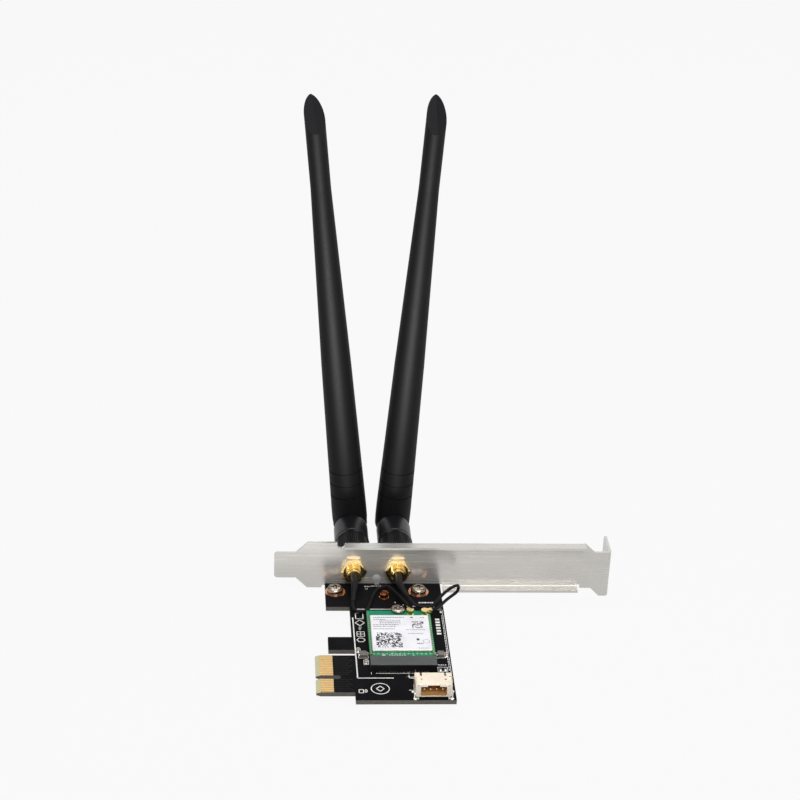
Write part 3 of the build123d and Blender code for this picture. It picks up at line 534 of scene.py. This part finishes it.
def bars(runs, low, high):
    """Flat bars: each run (x0, y0, x1, y1, width) is a box from low to high, half its width to each side."""
    runs = np.asarray(runs, float).reshape(-1, 5)
    first = runs[:, 0:2]
    last = runs[:, 2:4]
    along = (last - first) / np.linalg.norm(last - first, axis=1, keepdims=True)
    across = np.stack([-along[:, 1], along[:, 0]], 1) * runs[:, 4:5] / 2
    flat = np.stack([first - across, last - across, last + across, first + across], 1)
    floor = np.concatenate([flat, np.full(flat.shape[:2] + (1,), low)], 2)
    roof = np.concatenate([flat, np.full(flat.shape[:2] + (1,), high)], 2)
    points = np.concatenate([floor, roof], 1).reshape(-1, 3)
    box = np.array([[0, 3, 2, 1], [4, 5, 6, 7], [0, 1, 5, 4], [1, 2, 6, 5], [2, 3, 7, 6], [3, 0, 4, 7]])
    return points, (box + 8 * np.arange(len(runs))[:, None, None]).reshape(-1, 4)


def dots(spots, side, low, high):
    """Square dots of that side, as short bars."""
    spots = np.asarray(spots, float).reshape(-1, 2)
    ends = np.array([side / 2, 0])
    return bars(np.hstack([spots - ends, spots + ends, np.full((len(spots), 1), side)]), low, high)


def outline(middle, wide, tall, sides, turn, width):
    """Runs round a polygon: corners at equal angles from turn, on an ellipse of that width and height."""
    angle = math.radians(turn) + np.linspace(0, 2 * np.pi, sides, endpoint=False)
    corner = np.array(middle) + np.stack([np.cos(angle) * wide / 2, np.sin(angle) * tall / 2], 1)
    return np.hstack([corner, np.roll(corner, -1, axis=0), np.full((sides, 1), width)])


def broken_rows(random, rows, longest):
    """Runs of short bars that fill each row (x0, y, x1, width), with gaps, and spell nothing."""
    runs = []
    for left, y, right, width in rows:
        length = random.uniform(longest * 0.3, longest, 60)
        begin_at = left + np.concatenate([[0], np.cumsum(length + longest * 0.28)[:-1]])
        end_at = np.minimum(begin_at + length, right)
        kept = begin_at + longest * 0.2 < right
        flat = np.stack([begin_at, np.full(60, y), end_at, np.full(60, y), np.full(60, width)], 1)
        runs.append(flat[kept])
    return np.concatenate(runs)


def turned(spots, profile, steps, ring):
    """Turned shapes: (radius, height) points carried round an upright axis at each spot.

    A ring's profile is closed.
    """
    spots = np.asarray(spots, float).reshape(-1, 3)
    profile = np.asarray(profile, float)
    turn = np.linspace(0, 2 * np.pi, steps, endpoint=False)
    circle = np.stack([np.cos(turn), np.sin(turn)], 1)
    flat = profile[:, None, :1] * circle[None]
    tall = np.broadcast_to(profile[:, None, 1:], (len(profile), steps, 1))
    one = np.concatenate([flat, tall], 2).reshape(-1, 3)
    faces = grid_faces(len(profile), steps, ring, True)
    points = (spots[:, None, :] + one[None]).reshape(-1, 3)
    return points, (faces[None] + len(one) * np.arange(len(spots))[:, None, None]).reshape(-1, 4)


def domes(spots, radius, height):
    """Flat-bottomed blobs: a quarter ellipse turned round each spot."""
    angle = np.linspace(0, np.pi / 2, 6)
    profile = np.stack([radius * np.cos(angle), height * np.sin(angle)], 1)
    return turned(spots, np.concatenate([[(0.0, 0.0)], profile]), 16, False)


def screw(spot, head, rise, size, length, pitch):
    """A pan-head screw as one grid, rows from the crown's middle over the rim and down the shank to its tip.

    Crown: height = rise * (0.4 + 0.6 * sqrt(1 - t^4)) at the share t of the head's radius, less a cross of
    two slots with soft walls. Shank: radius = size / 2 less a triangle wave of z / pitch + angle / (2 pi),
    which is the thread.
    """
    columns = 72
    turn = np.linspace(0, 2 * np.pi, columns, endpoint=False)[None]
    share = np.linspace(0, 1, 34)[:, None]
    crown = head / 2 * share * np.ones_like(turn)
    dome = rise * (0.4 + 0.6 * np.sqrt(1 - share**4)) * np.ones_like(turn)
    x = np.abs(crown * np.cos(turn))
    y = np.abs(crown * np.sin(turn))
    arm = head * 0.27
    half_slot = head * 0.08
    wall = 0.18
    deep = rise * 0.55
    inside = [np.clip(v / wall + 0.5, 0, 1) for v in (arm - x, arm - y)]
    beside = [np.clip(v / wall + 0.5, 0, 1) for v in (half_slot - x, half_slot - y)]
    dome = dome - deep * np.maximum(inside[0] * beside[1], inside[1] * beside[0])
    drop = np.linspace(0, -length, round(length / pitch * 8))[:, None]
    wave = np.abs(2 * np.mod(drop / pitch + turn / (2 * np.pi), 1) - 1)
    shank = size / 2 - 0.55 * pitch * wave
    ends = np.ones_like(turn)
    radius = np.concatenate([crown, ends * head * 0.49, ends * size * 0.5, shank, ends * 0])
    height = np.concatenate([dome, ends * 0, ends * 0, drop * ends, -length * ends])
    points = np.stack([radius * np.cos(turn), radius * np.sin(turn), height], 2).reshape(-1, 3)
    return points + np.array(spot), grid_faces(len(radius), columns, False, True)


def jack_thread(x, z, start, end, size, pitch):
    """Screw thread round a jack: radius = size / 2 + a triangle wave of y / pitch + angle / (2 pi)."""
    columns = 72
    turn = np.linspace(0, 2 * np.pi, columns, endpoint=False)[None]
    along = np.linspace(start, end, round((end - start) / pitch * 12))[:, None]
    wave = np.abs(2 * np.mod(along / pitch + turn / (2 * np.pi), 1) - 1)
    radius = size / 2 - 0.04 + 0.22 * wave
    inner = np.full_like(turn, size / 2 - 0.2)
    radius = np.concatenate([inner, radius, inner])
    along = np.concatenate([along[:1], along, along[-1:]]) * np.ones_like(turn)
    points = np.stack([x + radius * np.cos(turn), along, z + radius * np.sin(turn)], 2).reshape(-1, 3)
    return points, grid_faces(len(radius), columns, True, True)


def spline(name, points, thickness=0.0):
    """A curve of one open spline of degree two whose control points are the route's points."""
    curve = bpy.data.curves.new(name, "CURVE")
    curve.dimensions = "3D"
    line = curve.splines.new("NURBS")
    line.points.add(len(points) - 1)
    metres = (np.asarray(points, float) + DATUM) / 1000
    line.points.foreach_set("co", np.hstack([metres, np.ones((len(metres), 1))]).ravel())
    line.order_u = 3
    line.use_endpoint_u = True
    line.resolution_u = 16
    curve.bevel_depth = thickness / 2
    curve.bevel_resolution = 5
    curve.use_fill_caps = True
    made = bpy.data.objects.new(name, curve)
    bpy.context.scene.collection.objects.link(made)
    return made


def along_spline(points):
    """Points of the route's spline, in working millimetres, as Blender draws it without thickness."""
    guide = spline("guide", points)
    mesh = bpy.data.meshes.new_from_object(guide)
    line = np.zeros(len(mesh.vertices) * 3)
    mesh.vertices.foreach_get("co", line)
    curve = guide.data
    bpy.data.objects.remove(guide)
    bpy.data.curves.remove(curve)
    bpy.data.meshes.remove(mesh)
    return line.reshape(-1, 3) * 1000 - DATUM


def carried(line, radius, steps):
    """A round section carried along a line: at each point a ring square to it, with a pole at each end."""
    way = np.gradient(line, axis=0)
    way /= np.linalg.norm(way, axis=1, keepdims=True)
    side = np.cross(way, [1.0, 0.0, 0.0])
    side /= np.linalg.norm(side, axis=1, keepdims=True)
    other = np.cross(way, side)
    turn = np.linspace(0, 2 * np.pi, steps, endpoint=False)
    ring = np.cos(turn)[None, :, None] * side[:, None] + np.sin(turn)[None, :, None] * other[:, None]
    line = np.concatenate([line[:1], line, line[-1:]])
    ring = np.concatenate([ring[:1], ring, ring[-1:]])
    radius = np.concatenate([[0.0], radius, [0.0]])
    points = line[:, None] + ring * radius[:, None, None]
    return points.reshape(-1, 3), grid_faces(len(line), steps, False, True)


def seat(name, mesh, body, material, stands_for):
    """Links a finished mesh as one piece on a body, with its material, and hides the solids that it stands
    for.
    """
    mesh.materials.clear()
    mesh.materials.append(material)
    made = bpy.data.objects.new(name, mesh)
    bpy.context.scene.collection.objects.link(made)
    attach(made, body)
    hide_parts(*stands_for)
    return made


def piece(name, shells, material, stands_for=(), smooth=30):
    """One piece on the card from shells of points and quads; doubles are merged and faces turned outwards."""
    counts = np.cumsum([0] + [len(points) for points, _ in shells])
    points = (np.concatenate([points for points, _ in shells]) + DATUM) / 1000
    faces = np.concatenate([faces + count for (_, faces), count in zip(shells, counts)])
    mesh = bpy.data.meshes.new(name)
    mesh.from_pydata(points.tolist(), [], faces.tolist())
    work = bmesh.new()
    work.from_mesh(mesh)
    bmesh.ops.remove_doubles(work, verts=work.verts, dist=1e-8)
    bmesh.ops.dissolve_degenerate(work, edges=work.edges, dist=1e-9)
    bmesh.ops.recalc_face_normals(work, faces=work.faces)
    work.to_mesh(mesh)
    work.free()
    mesh.shade_smooth()
    mesh.set_sharp_from_angle(angle=math.radians(smooth))
    return seat(name, mesh, "card", material, stands_for)


# Steps


def seen(tree):
    """One for the camera's own rays, for reflections and for what is seen through clear parts."""
    path = add(tree, "LightPath")
    direct = {0: path.outputs["Is Camera Ray"], 1: path.outputs["Is Glossy Ray"]}
    sharp = add(tree, "Math", direct, operation="MAXIMUM")
    through = {0: sharp.outputs[0], 1: path.outputs["Is Transmission Ray"]}
    return add(tree, "Math", through, operation="MAXIMUM").outputs[0]


class DressStage(bpy.types.Operator):
    """Sets the photograph's camera, a pale floor, white surroundings and soft studio lamps"""

    bl_idname = "card.stage"
    bl_label = "Stage"

    def execute(self, context):
        context.scene.view_settings.view_transform = "Standard"
        self.set_camera(context.scene)
        self.set_world(context.scene)
        self.set_floor(context.scene)
        # Soft boxes: in front above the camera, overhead, and a tall one behind to the right for the rims.
        # A low one just above the floor is seen in reflections alone and draws the sheen down the antennas.
        aim = Vector((-0.07, 0.0, 0.05))
        for name, spot, size, power, target in (
            ("key", (-0.03, -0.5, 0.56), (0.45, 0.34), 3.3, aim),
            ("top", (-0.1, 0.2, 0.98), (0.8, 0.5), 4.4, aim),
            ("rim", (0.75, 0.25, 0.4), (0.25, 0.7), 2.2, aim),
            ("low", (-0.1, -0.175, 0.0), (0.12, 0.15), 4.2, Vector((-0.1, -0.175, 1.0))),
        ):
            lamp = bpy.data.lights.new(name, "AREA")
            lamp.shape = "RECTANGLE"
            lamp.size = size[0]
            lamp.size_y = size[1]
            lamp.energy = power
            made = bpy.data.objects.new(name, lamp)
            turn = (Vector(spot) - target).to_track_quat("Z", "Y").to_matrix().to_4x4()
            made.matrix_world = Matrix.Translation(spot) @ turn
            made.visible_camera = False
            made.visible_diffuse = name != "low"
            context.scene.collection.objects.link(made)
        return {"FINISHED"}

    def set_camera(self, scene):
        """The camera solved from standard sizes: its right, down and forward ways and its place."""
        right = np.array((0.99737, -0.06021, 0.04034))
        down = np.array((0.00902, -0.44916, -0.89341))
        ahead = np.array((0.07191, 0.89142, -0.44744))
        lens = bpy.data.cameras.new("camera")
        sensor = 36.0
        focal_pixels = 1931.70
        picture_pixels = 800
        lens.sensor_width = sensor
        lens.lens = focal_pixels / picture_pixels * sensor
        lens.clip_start = 0.01
        lens.clip_end = 50
        camera = bpy.data.objects.new("camera", lens)
        spot = Matrix(np.stack([right, -down, -ahead], 1).tolist()).to_4x4()
        spot.translation = (-0.124379, -0.591757, 0.36604)
        camera.matrix_world = spot
        scene.collection.objects.link(camera)
        scene.camera = camera

    def set_world(self, scene):
        """White to the camera and in reflections, a softer sky for everything else."""
        world = bpy.data.worlds.new("studio")
        world.use_nodes = True
        tree = world.node_tree
        tree.nodes.clear()
        level = add(tree, "MapRange", {0: seen(tree), 3: 0.12, 4: 1.0})
        sky = add(tree, "Background", {"Color": (1, 1, 1, 1), "Strength": level.outputs[0]})
        add(tree, "OutputWorld", {"Surface": sky.outputs[0]})
        scene.world = world

    def set_floor(self, scene):
        """White paper under the lowest point; what the camera sees of it keeps a faint shadow."""
        half = 3.0
        gap = 0.0004
        low = float(SOLID_BOX[0][2]) - gap
        corners = [(-half, -half, low), (half, -half, low), (half, half, low), (-half, half, low)]
        mesh = bpy.data.meshes.new("floor")
        mesh.from_pydata(corners, [], [(0, 1, 2, 3)])
        material, tree, place = begin("matt_white_paper")
        fibre = add(tree, "TexNoise", {"Vector": place, "Scale": per(2.0)})
        tone = add(tree, "MapRange", {0: fibre.outputs[0], 3: 0.28, 4: 0.32})
        matt = add(tree, "BsdfDiffuse", {"Color": tone.outputs[0]})
        glow = add(tree, "Emission", {"Strength": 1.0})
        share = add(tree, "Math", {0: seen(tree), 1: 0.93}, operation="MULTIPLY")
        both = add(tree, "MixShader", {0: share.outputs[0], 1: matt.outputs[0], 2: glow.outputs[0]})
        add(tree, "OutputMaterial", {"Surface": both.outputs[0]})
        mesh.materials.append(material)
        floor = bpy.data.objects.new("floor", mesh)
        scene.collection.objects.link(floor)


class DressLeads(bpy.types.Operator):
    """Lays the two thin coax leads from their sleeves to the module's plugs"""

    bl_idname = "card.leads"
    bl_label = "Coax leads"

    def execute(self, context):
        cable = context.scene.card_sizes.cable
        for side, points in CABLES.items():
            lead = spline(f"{side}_lead", points, cable)
            lead.data.materials.append(finish("cable_jacket"))
            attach(lead, "card")
            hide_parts(f"{side}_cable")
        return {"FINISHED"}


class DressSleeves(bpy.types.Operator):
    """Shrinks a sleeve over each lead where it leaves its jack"""

    bl_idname = "card.sleeves"
    bl_label = "Heat-shrink sleeves"

    def execute(self, context):
        sizes = context.scene.card_sizes
        # radii in millimetres: over the crimp, and over the cable with the wall of the sleeve
        wall = 0.18
        full = sizes.sleeve * 500
        thin = sizes.cable * 500 + wall
        for side, points in SLEEVES.items():
            line = along_spline(points)
            # radius over the share s of the length: full over the crimp, necked at its end, and rippled
            s = np.linspace(0, 1, len(line))
            neck = 1 / (1 + np.exp((s - 0.8) * 22))
            radius = thin + (full - thin) * neck + 0.03 * np.sin(s * 61) * np.sin(s * 17) * (1 - s)
            shell = carried(line, radius, 36)
            solid = [f"{side}_sleeve"]
            piece(f"{side}_shrink", [shell], finish("shrink_sleeve"), solid, smooth=50)
        return {"FINISHED"}


class DressScrews(bpy.types.Operator):
    """Turns the pan-head screws with their cross recesses and threads, and the threads of the jacks"""

    bl_idname = "card.screws"
    bl_label = "Screws and threads"

    def execute(self, context):
        steel = finish("bright_steel")
        pan = {"head": 5.6, "rise": 2.1, "size": 3.0, "length": 4.6, "pitch": 0.5}
        pair = [screw((x, -5.8, 0.06), **pan) for x in (21.5, 51.0)]
        piece("pan_screws", pair, steel, ["board_screws"], smooth=40)
        small = screw((42.8, -21.4, 2.15), head=5.0, rise=1.4, size=2.0, length=2.9, pitch=0.4)
        piece("module_pan_screw", [small], steel, ["m2_screw"], smooth=40)
        thread = {"start": 3.52, "end": 5.7, "size": 6.35, "pitch": 0.706}
        threads = [jack_thread(x, 5.56, **thread) for x in (28.15, 43.8)]
        piece("jack_threads", threads, finish("gold_plate"), smooth=20)
        return {"FINISHED"}


class DressEdges(bpy.types.Operator):
    """Breaks the sharp edges of the moulded and cut parts, so that they catch the light"""

    bl_idname = "card.edges"
    bl_label = "Broken edges"

    def execute(self, context):
        for node, width in BROKEN_EDGES.items():
            mesh = NODES[node].data.copy()
            work = bmesh.new()
            work.from_mesh(mesh)
            bmesh.ops.remove_doubles(work, verts=work.verts, dist=1e-7)
            work.to_mesh(mesh)
            work.free()
            mesh.shade_flat()
            made = seat(f"{node}_edged", mesh, "card", finish(SLOT_OF[node]), [node])
            bevel = made.modifiers.new("broken_edge", "BEVEL")
            bevel.width = width / 1000
            bevel.segments = 2
            bevel.limit_method = "ANGLE"
            bevel.angle_limit = math.radians(40)
            bevel.use_clamp_overlap = False
        return {"FINISHED"}


class DressBoardPrint(bpy.types.Operator):
    """Prints the board's white outlines, plain marks and part frames"""

    bl_idname = "card.board_print"
    bl_label = "Board print"

    def execute(self, context):
        high = context.scene.card_sizes.ink * 1000
        random = np.random.default_rng(context.scene.card_sizes.seed)
        lines = [
            # guide line round the module's place, with its upper dashes
            (27.1, -22.5, 27.35, -58.9, 0.42),
            (27.1, -58.7, 39.3, -58.7, 0.42),
            (28.1, -17.2, 31.95, -17.2, 0.32),
            (32.9, -17.2, 40.6, -17.2, 0.32),
            (56.2, -17.45, 58.4, -17.45, 0.32),
            # socket outline and its corner
            (31.95, -46.9, 32.0, -56.6, 0.18),
            (33.5, -56.05, 44.3, -56.05, 0.18),
            (44.4, -53.6, 44.4, -56.6, 0.18),
            (44.3, -57.3, 44.5, -58.9, 0.4),
            (44.35, -58.75, 46.0, -58.75, 0.4),
            # solid line beside the right edge
            (58.5, -17.5, 58.5, -62.0, 0.16),
            # small dashes by the header and two ticks by the jacks
            (43.9, -65.6, 44.75, -65.6, 0.35),
            (42.1, -12.8, 42.6, -12.8, 0.5),
            (44.9, -14.35, 45.3, -14.35, 0.4),
        ]
        dashes = np.arange(-54.5, -20.5, 1.55)
        dashed = [(58.05, y, 58.05, y + 1.15, 0.2) for y in dashes]
        blocks = [(56.3, y, 56.3, y + 1.1, 1.5) for y in np.arange(-33.0, -22.5, 1.75)]
        marks = [
            # plain frames and shapes down the left side
            outline((29.4, -21.5), 3.6, 5.0, 4, 45, 0.28),
            outline((29.4, -25.8), 3.2, 3.6, 4, 0, 0.3),
            outline((29.45, -32.7), 3.6, 4.0, 4, 45, 0.24),
            [(29.45, -31.4, 29.45, -34.0, 0.24), (28.3, -32.7, 30.6, -32.7, 0.24)],
            outline((29.4, -36.3), 2.8, 2.6, 6, 0, 0.3),
            [
                (29.0, -28.4, 29.9, -28.4, 0.3),
                (28.8, -29.2, 29.8, -29.2, 0.3),
                (29.0, -30.0, 29.6, -30.0, 0.3),
            ],
            # frames of the chips and coils
            outline((28.175, -42.7), 1.9, 3.6, 4, 45, 0.16),
            outline((29.8, -45.5), 4.6, 4.6, 4, 45, 0.2),
            outline((30.575, -49.6), 2.1, 3.8, 4, 45, 0.2),
            outline((55.8, -45.5), 4.4, 4.4, 4, 45, 0.2),
            outline((57.8, -45.5), 1.9, 3.6, 4, 45, 0.14),
            outline((55.85, -53.8), 4.6, 3.6, 4, 45, 0.18),
            # diamond and frame by the ring mark
            outline((29.8, -65.95), 0.9, 1.8, 4, 0, 0.3),
            outline((28.25, -66.1), 2.0, 2.6, 4, 45, 0.3),
            outline((34.5, -64.68), 2.6, 2.9, 4, 0, 0.34),
        ]
        rows = [
            (32.0, -2.4, 34.1, 0.55),
            (34.4, -2.15, 37.9, 0.55),
            (32.35, -4.0, 33.1, 0.5),
            (48.0, -12.9, 49.2, 0.5),
            (50.6, -12.95, 56.5, 0.75),
            (48.4, -15.3, 49.6, 0.5),
            (51.0, -15.45, 56.0, 0.75),
            (54.5, -51.2, 57.2, 0.4),
            (54.5, -56.4, 57.2, 0.4),
        ]
        runs = [lines, dashed, blocks, *marks, broken_rows(random, rows, 0.8)]
        flat = bars(np.concatenate([np.asarray(run, float) for run in runs]), 0.0, high)
        ring = turned([(34.5, -64.68, 0)], [(2.8, 0), (2.8, high), (3.1, high), (3.1, 0)], 72, True)
        piece("board_legend", [flat, ring], finish("legend_ink"))
        return {"FINISHED"}


class DressModulePrint(bpy.types.Operator):
    """Prints the module's border: white marks, and gold vias down its sides and along its front"""

    bl_idname = "card.module_print"
    bl_label = "Module print"

    def execute(self, context):
        low = 2.15
        high = low + context.scene.card_sizes.ink * 1000
        white = [
            [(x, -48.6, x + 0.45, -48.6, 0.4) for x in np.arange(38.2, 43.6, 0.85)],
            [
                (35.9, -48.55, 37.0, -48.55, 0.5),
                (46.0, -48.7, 46.7, -48.7, 0.4),
                (39.1, -47.4, 39.7, -47.4, 0.25),
            ],
            [(33.1, -24.6, 34.4, -24.6, 0.35), (36.0, -24.4, 36.6, -24.4, 0.3)],
        ]
        piece("module_legend", [bars(np.concatenate(white), low, high)], finish("legend_ink"))
        sides = np.arange(-47.6, -22.4, 1.3)
        vias = [np.stack([np.full(len(sides), x), sides], 1) for x in (32.2, 53.4)]
        front = np.arange(33.2, 53.0, 1.45)
        vias.append(np.stack([front, np.full(len(front), -47.75)], 1))
        spots = np.concatenate(vias)
        spots = np.hstack([spots, np.full((len(spots), 1), low)])
        rim = [(0.1, 0.0), (0.1, 0.03), (0.22, 0.03), (0.22, 0.0)]
        piece("module_vias", [turned(spots, rim, 12, True)], finish("gold_plate"))
        return {"FINISHED"}


class DressLabelPrint(bpy.types.Operator):
    """Prints plain rows and dot patterns that spell nothing on the module's label"""

    bl_idname = "card.label_print"
    bl_label = "Label print"

    def execute(self, context):
        sizes = context.scene.card_sizes
        random = np.random.default_rng(sizes.seed)
        low = float(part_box("module_label")[1][2]) * 1000 - DATUM[2]
        # thermal print is half as thick as the board's ink
        high = low + sizes.ink * 500
        step = sizes.dot * 1000
        filled = 0.52
        squares = []
        for left, front, count in ((34.2, -45.5, 20), (46.9, -33.9, 9)):
            cells = np.indices((count, count)).reshape(2, -1).T
            kept = cells[random.random(len(cells)) < filled]
            squares.append(dots(kept * step + (left + step / 2, front + step / 2), step, low, high))
        heavy = [(46.6, -27.3, 47.5, -27.3, 0.6), (47.9, -40.8, 48.8, -40.8, 1.2)]
        piece("label_dots", [*squares, bars(heavy, low, high)], finish("label_ink"))
        rows = [
            (33.9, -27.3, 44.4, 0.5),
            (33.9, -28.5, 37.8, 0.4),
            (36.2, -29.6, 42.7, 0.4),
            (36.2, -30.6, 42.7, 0.4),
            (33.7, -31.9, 42.4, 0.4),
            (33.7, -33.0, 41.2, 0.4),
            (33.6, -34.4, 41.1, 0.4),
            (50.0, -27.4, 51.3, 0.4),
            (44.7, -34.9, 51.1, 0.34),
            (45.2, -37.2, 50.6, 0.34),
            (47.8, -43.2, 50.1, 0.6),
            (48.2, -46.0, 51.9, 0.3),
        ]
        fine = [broken_rows(random, rows, 0.7), outline((39.45, -30.2), 9.7, 3.6, 4, 45, 0.12)]
        flat = bars(np.concatenate(fine), low, high)
        ring = [(1.0, 0), (1.0, high - low), (1.14, high - low), (1.14, 0)]
        circle = turned([(51.1, -41.95, low)], ring, 40, True)
        piece("label_rows", [flat, circle], finish("label_fine_ink"))
        return {"FINISHED"}


class DressSolder(bpy.types.Operator):
    """Puts solder beside the chips, the header's lugs and the socket's tails"""

    bl_idname = "card.solder"
    bl_label = "Solder"

    def execute(self, context):
        capacitors = np.array([(30.575, -49.6), (57.8, -45.5), (28.175, -42.7)])
        resistors = np.array([(55.025, -53.8), (56.675, -53.8), (57.825, -18.4)])
        ends = np.array([(0, 0.8), (0, -0.8)])
        chips = (np.concatenate([capacitors, resistors])[:, None] + ends[None]).reshape(-1, 2)
        lugs = np.array([(45.6, -70.4), (57.5, -70.4), (45.2, -66.4), (57.9, -66.4)])
        coils = np.array([(28.6, -45.5), (31.0, -45.5), (54.6, -45.5), (57.0, -45.5)])
        tails = np.stack([42.8 + 0.5 * (np.arange(34) - 16.5), np.full(34, -56.05)], 1)
        shells = []
        blobs = ((chips, 0.5, 0.38), (lugs, 0.75, 0.5), (coils, 0.55, 0.5), (tails, 0.19, 0.2))
        for spots, radius, height in blobs:
            shells.append(domes(np.hstack([spots, np.zeros((len(spots), 1))]), radius, height))
        piece("solder", shells, finish("tinned"), smooth=60)
        return {"FINISHED"}


class DressTracks(bpy.types.Operator):
    """Runs copper tracks under the mask from the edge contacts, with a via at the end of each"""

    bl_idname = "card.tracks"
    bl_label = "Tracks and vias"

    def execute(self, context):
        width = context.scene.card_sizes.track * 1000
        key = -58.1
        rows = np.concatenate([key + 1.5 + np.arange(11), key - 1.5 - np.arange(7)])
        # every track runs straight in from its contact and ends at one of three depths in turn
        ends = 24.0 + 0.7 * (np.arange(len(rows)) % 3)
        runs = np.stack([np.full(len(rows), 19.4), rows, ends, rows, np.full(len(rows), width)], 1)
        # longer tracks cross the underside from the tongue to the socket, in pairs 0.5 mm apart
        pairs = np.arange(-52.0, -47.5, 1.6)
        under = [(24.5, y + gap, 36.0, y + gap, width) for y in pairs for gap in (0, 0.5)]
        under += [(36.0, -30.0 - y, 52.0, -30.0 - y, width * 2) for y in np.arange(0, 12, 2.5)]
        underside = -1.6
        raised = 0.02
        tops = bars(runs, 0.0, raised)
        bottoms = bars(np.concatenate([runs, under]), underside - raised, underside)
        piece("tracks", [tops, bottoms], finish("masked_copper"))
        spots = np.stack([ends, rows], 1)
        tall = 0.03
        rim = [(0.14, 0.0), (0.14, tall), (0.32, tall), (0.32, 0.0)]
        levels = [np.full((len(spots), 1), z) for z in (0.0, underside - tall)]
        vias = [turned(np.hstack([spots, level]), rim, 14, True) for level in levels]
        piece("vias", vias, finish("masked_copper"))
        return {"FINISHED"}


class DressWindow(bpy.types.Operator):
    """Sets the frosted window into the bracket's lamp hole"""

    bl_idname = "card.window"
    bl_label = "Lamp window"

    def execute(self, context):
        # a shallow dome across the hole, height = rise * (1 - (r / radius)^2), turned to face the board
        radius = 1.59
        rise = 0.35
        depth = 0.5
        share = np.linspace(0, 1, 8)
        dome = np.stack([radius * share, rise * (1 - share**2)], 1)
        profile = np.concatenate([dome, [(radius, -depth), (0.0, -depth)]])
        points, faces = turned([(0, 0, 0)], profile, 40, False)
        stood = np.stack([points[:, 0] + 36.4, 0.15 - points[:, 2], points[:, 1] + 2.0], 1)
        piece("lamp_window", [(stood, faces)], finish("light_window"), smooth=40)
        return {"FINISHED"}


class DressFinishes(bpy.types.Operator):
    """Gives every solid the finish of its material"""

    bl_idname = "card.finishes"
    bl_label = "Finishes of the solids"

    def execute(self, context):
        for name, solid in NODES.items():
            solid.data.materials.clear()
            solid.data.materials.append(finish(OWN_FINISH.get(name, SLOT_OF[name])))
        return {"FINISHED"}


class CardPanel(bpy.types.Panel):
    """Lists the steps that dress the card"""

    bl_idname = "VIEW3D_PT_card"
    bl_label = "Network card"
    bl_space_type = "VIEW_3D"
    bl_region_type = "UI"
    bl_category = "Network card"

    def draw(self, context):
        for step in STEPS:
            self.layout.operator(step.bl_idname)
        for group in (context.scene.card_sizes, context.scene.card_colours):
            for key in group.__annotations__:
                self.layout.prop(group, key)


STEPS = (
    DressStage,
    DressLeads,
    DressSleeves,
    DressScrews,
    DressEdges,
    DressBoardPrint,
    DressModulePrint,
    DressLabelPrint,
    DressSolder,
    DressTracks,
    DressWindow,
    DressFinishes,
)
CLASSES = (CardSizes, CardColours, *STEPS, CardPanel)


def register():
    """Makes the add-on's classes and its two groups of values known."""
    for made in CLASSES:
        bpy.utils.register_class(made)
    bpy.types.Scene.card_sizes = PointerProperty(type=CardSizes)
    bpy.types.Scene.card_colours = PointerProperty(type=CardColours)


def unregister():
    """Takes the add-on away again."""
    del bpy.types.Scene.card_colours
    del bpy.types.Scene.card_sizes
    for made in reversed(CLASSES):
        bpy.utils.unregister_class(made)


def main():
    """Registers the add-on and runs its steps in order."""
    register()
    for step in STEPS:
        group, name = step.bl_idname.split(".")
        getattr(getattr(bpy.ops, group), name)()


if __name__ == "__main__":
    main()
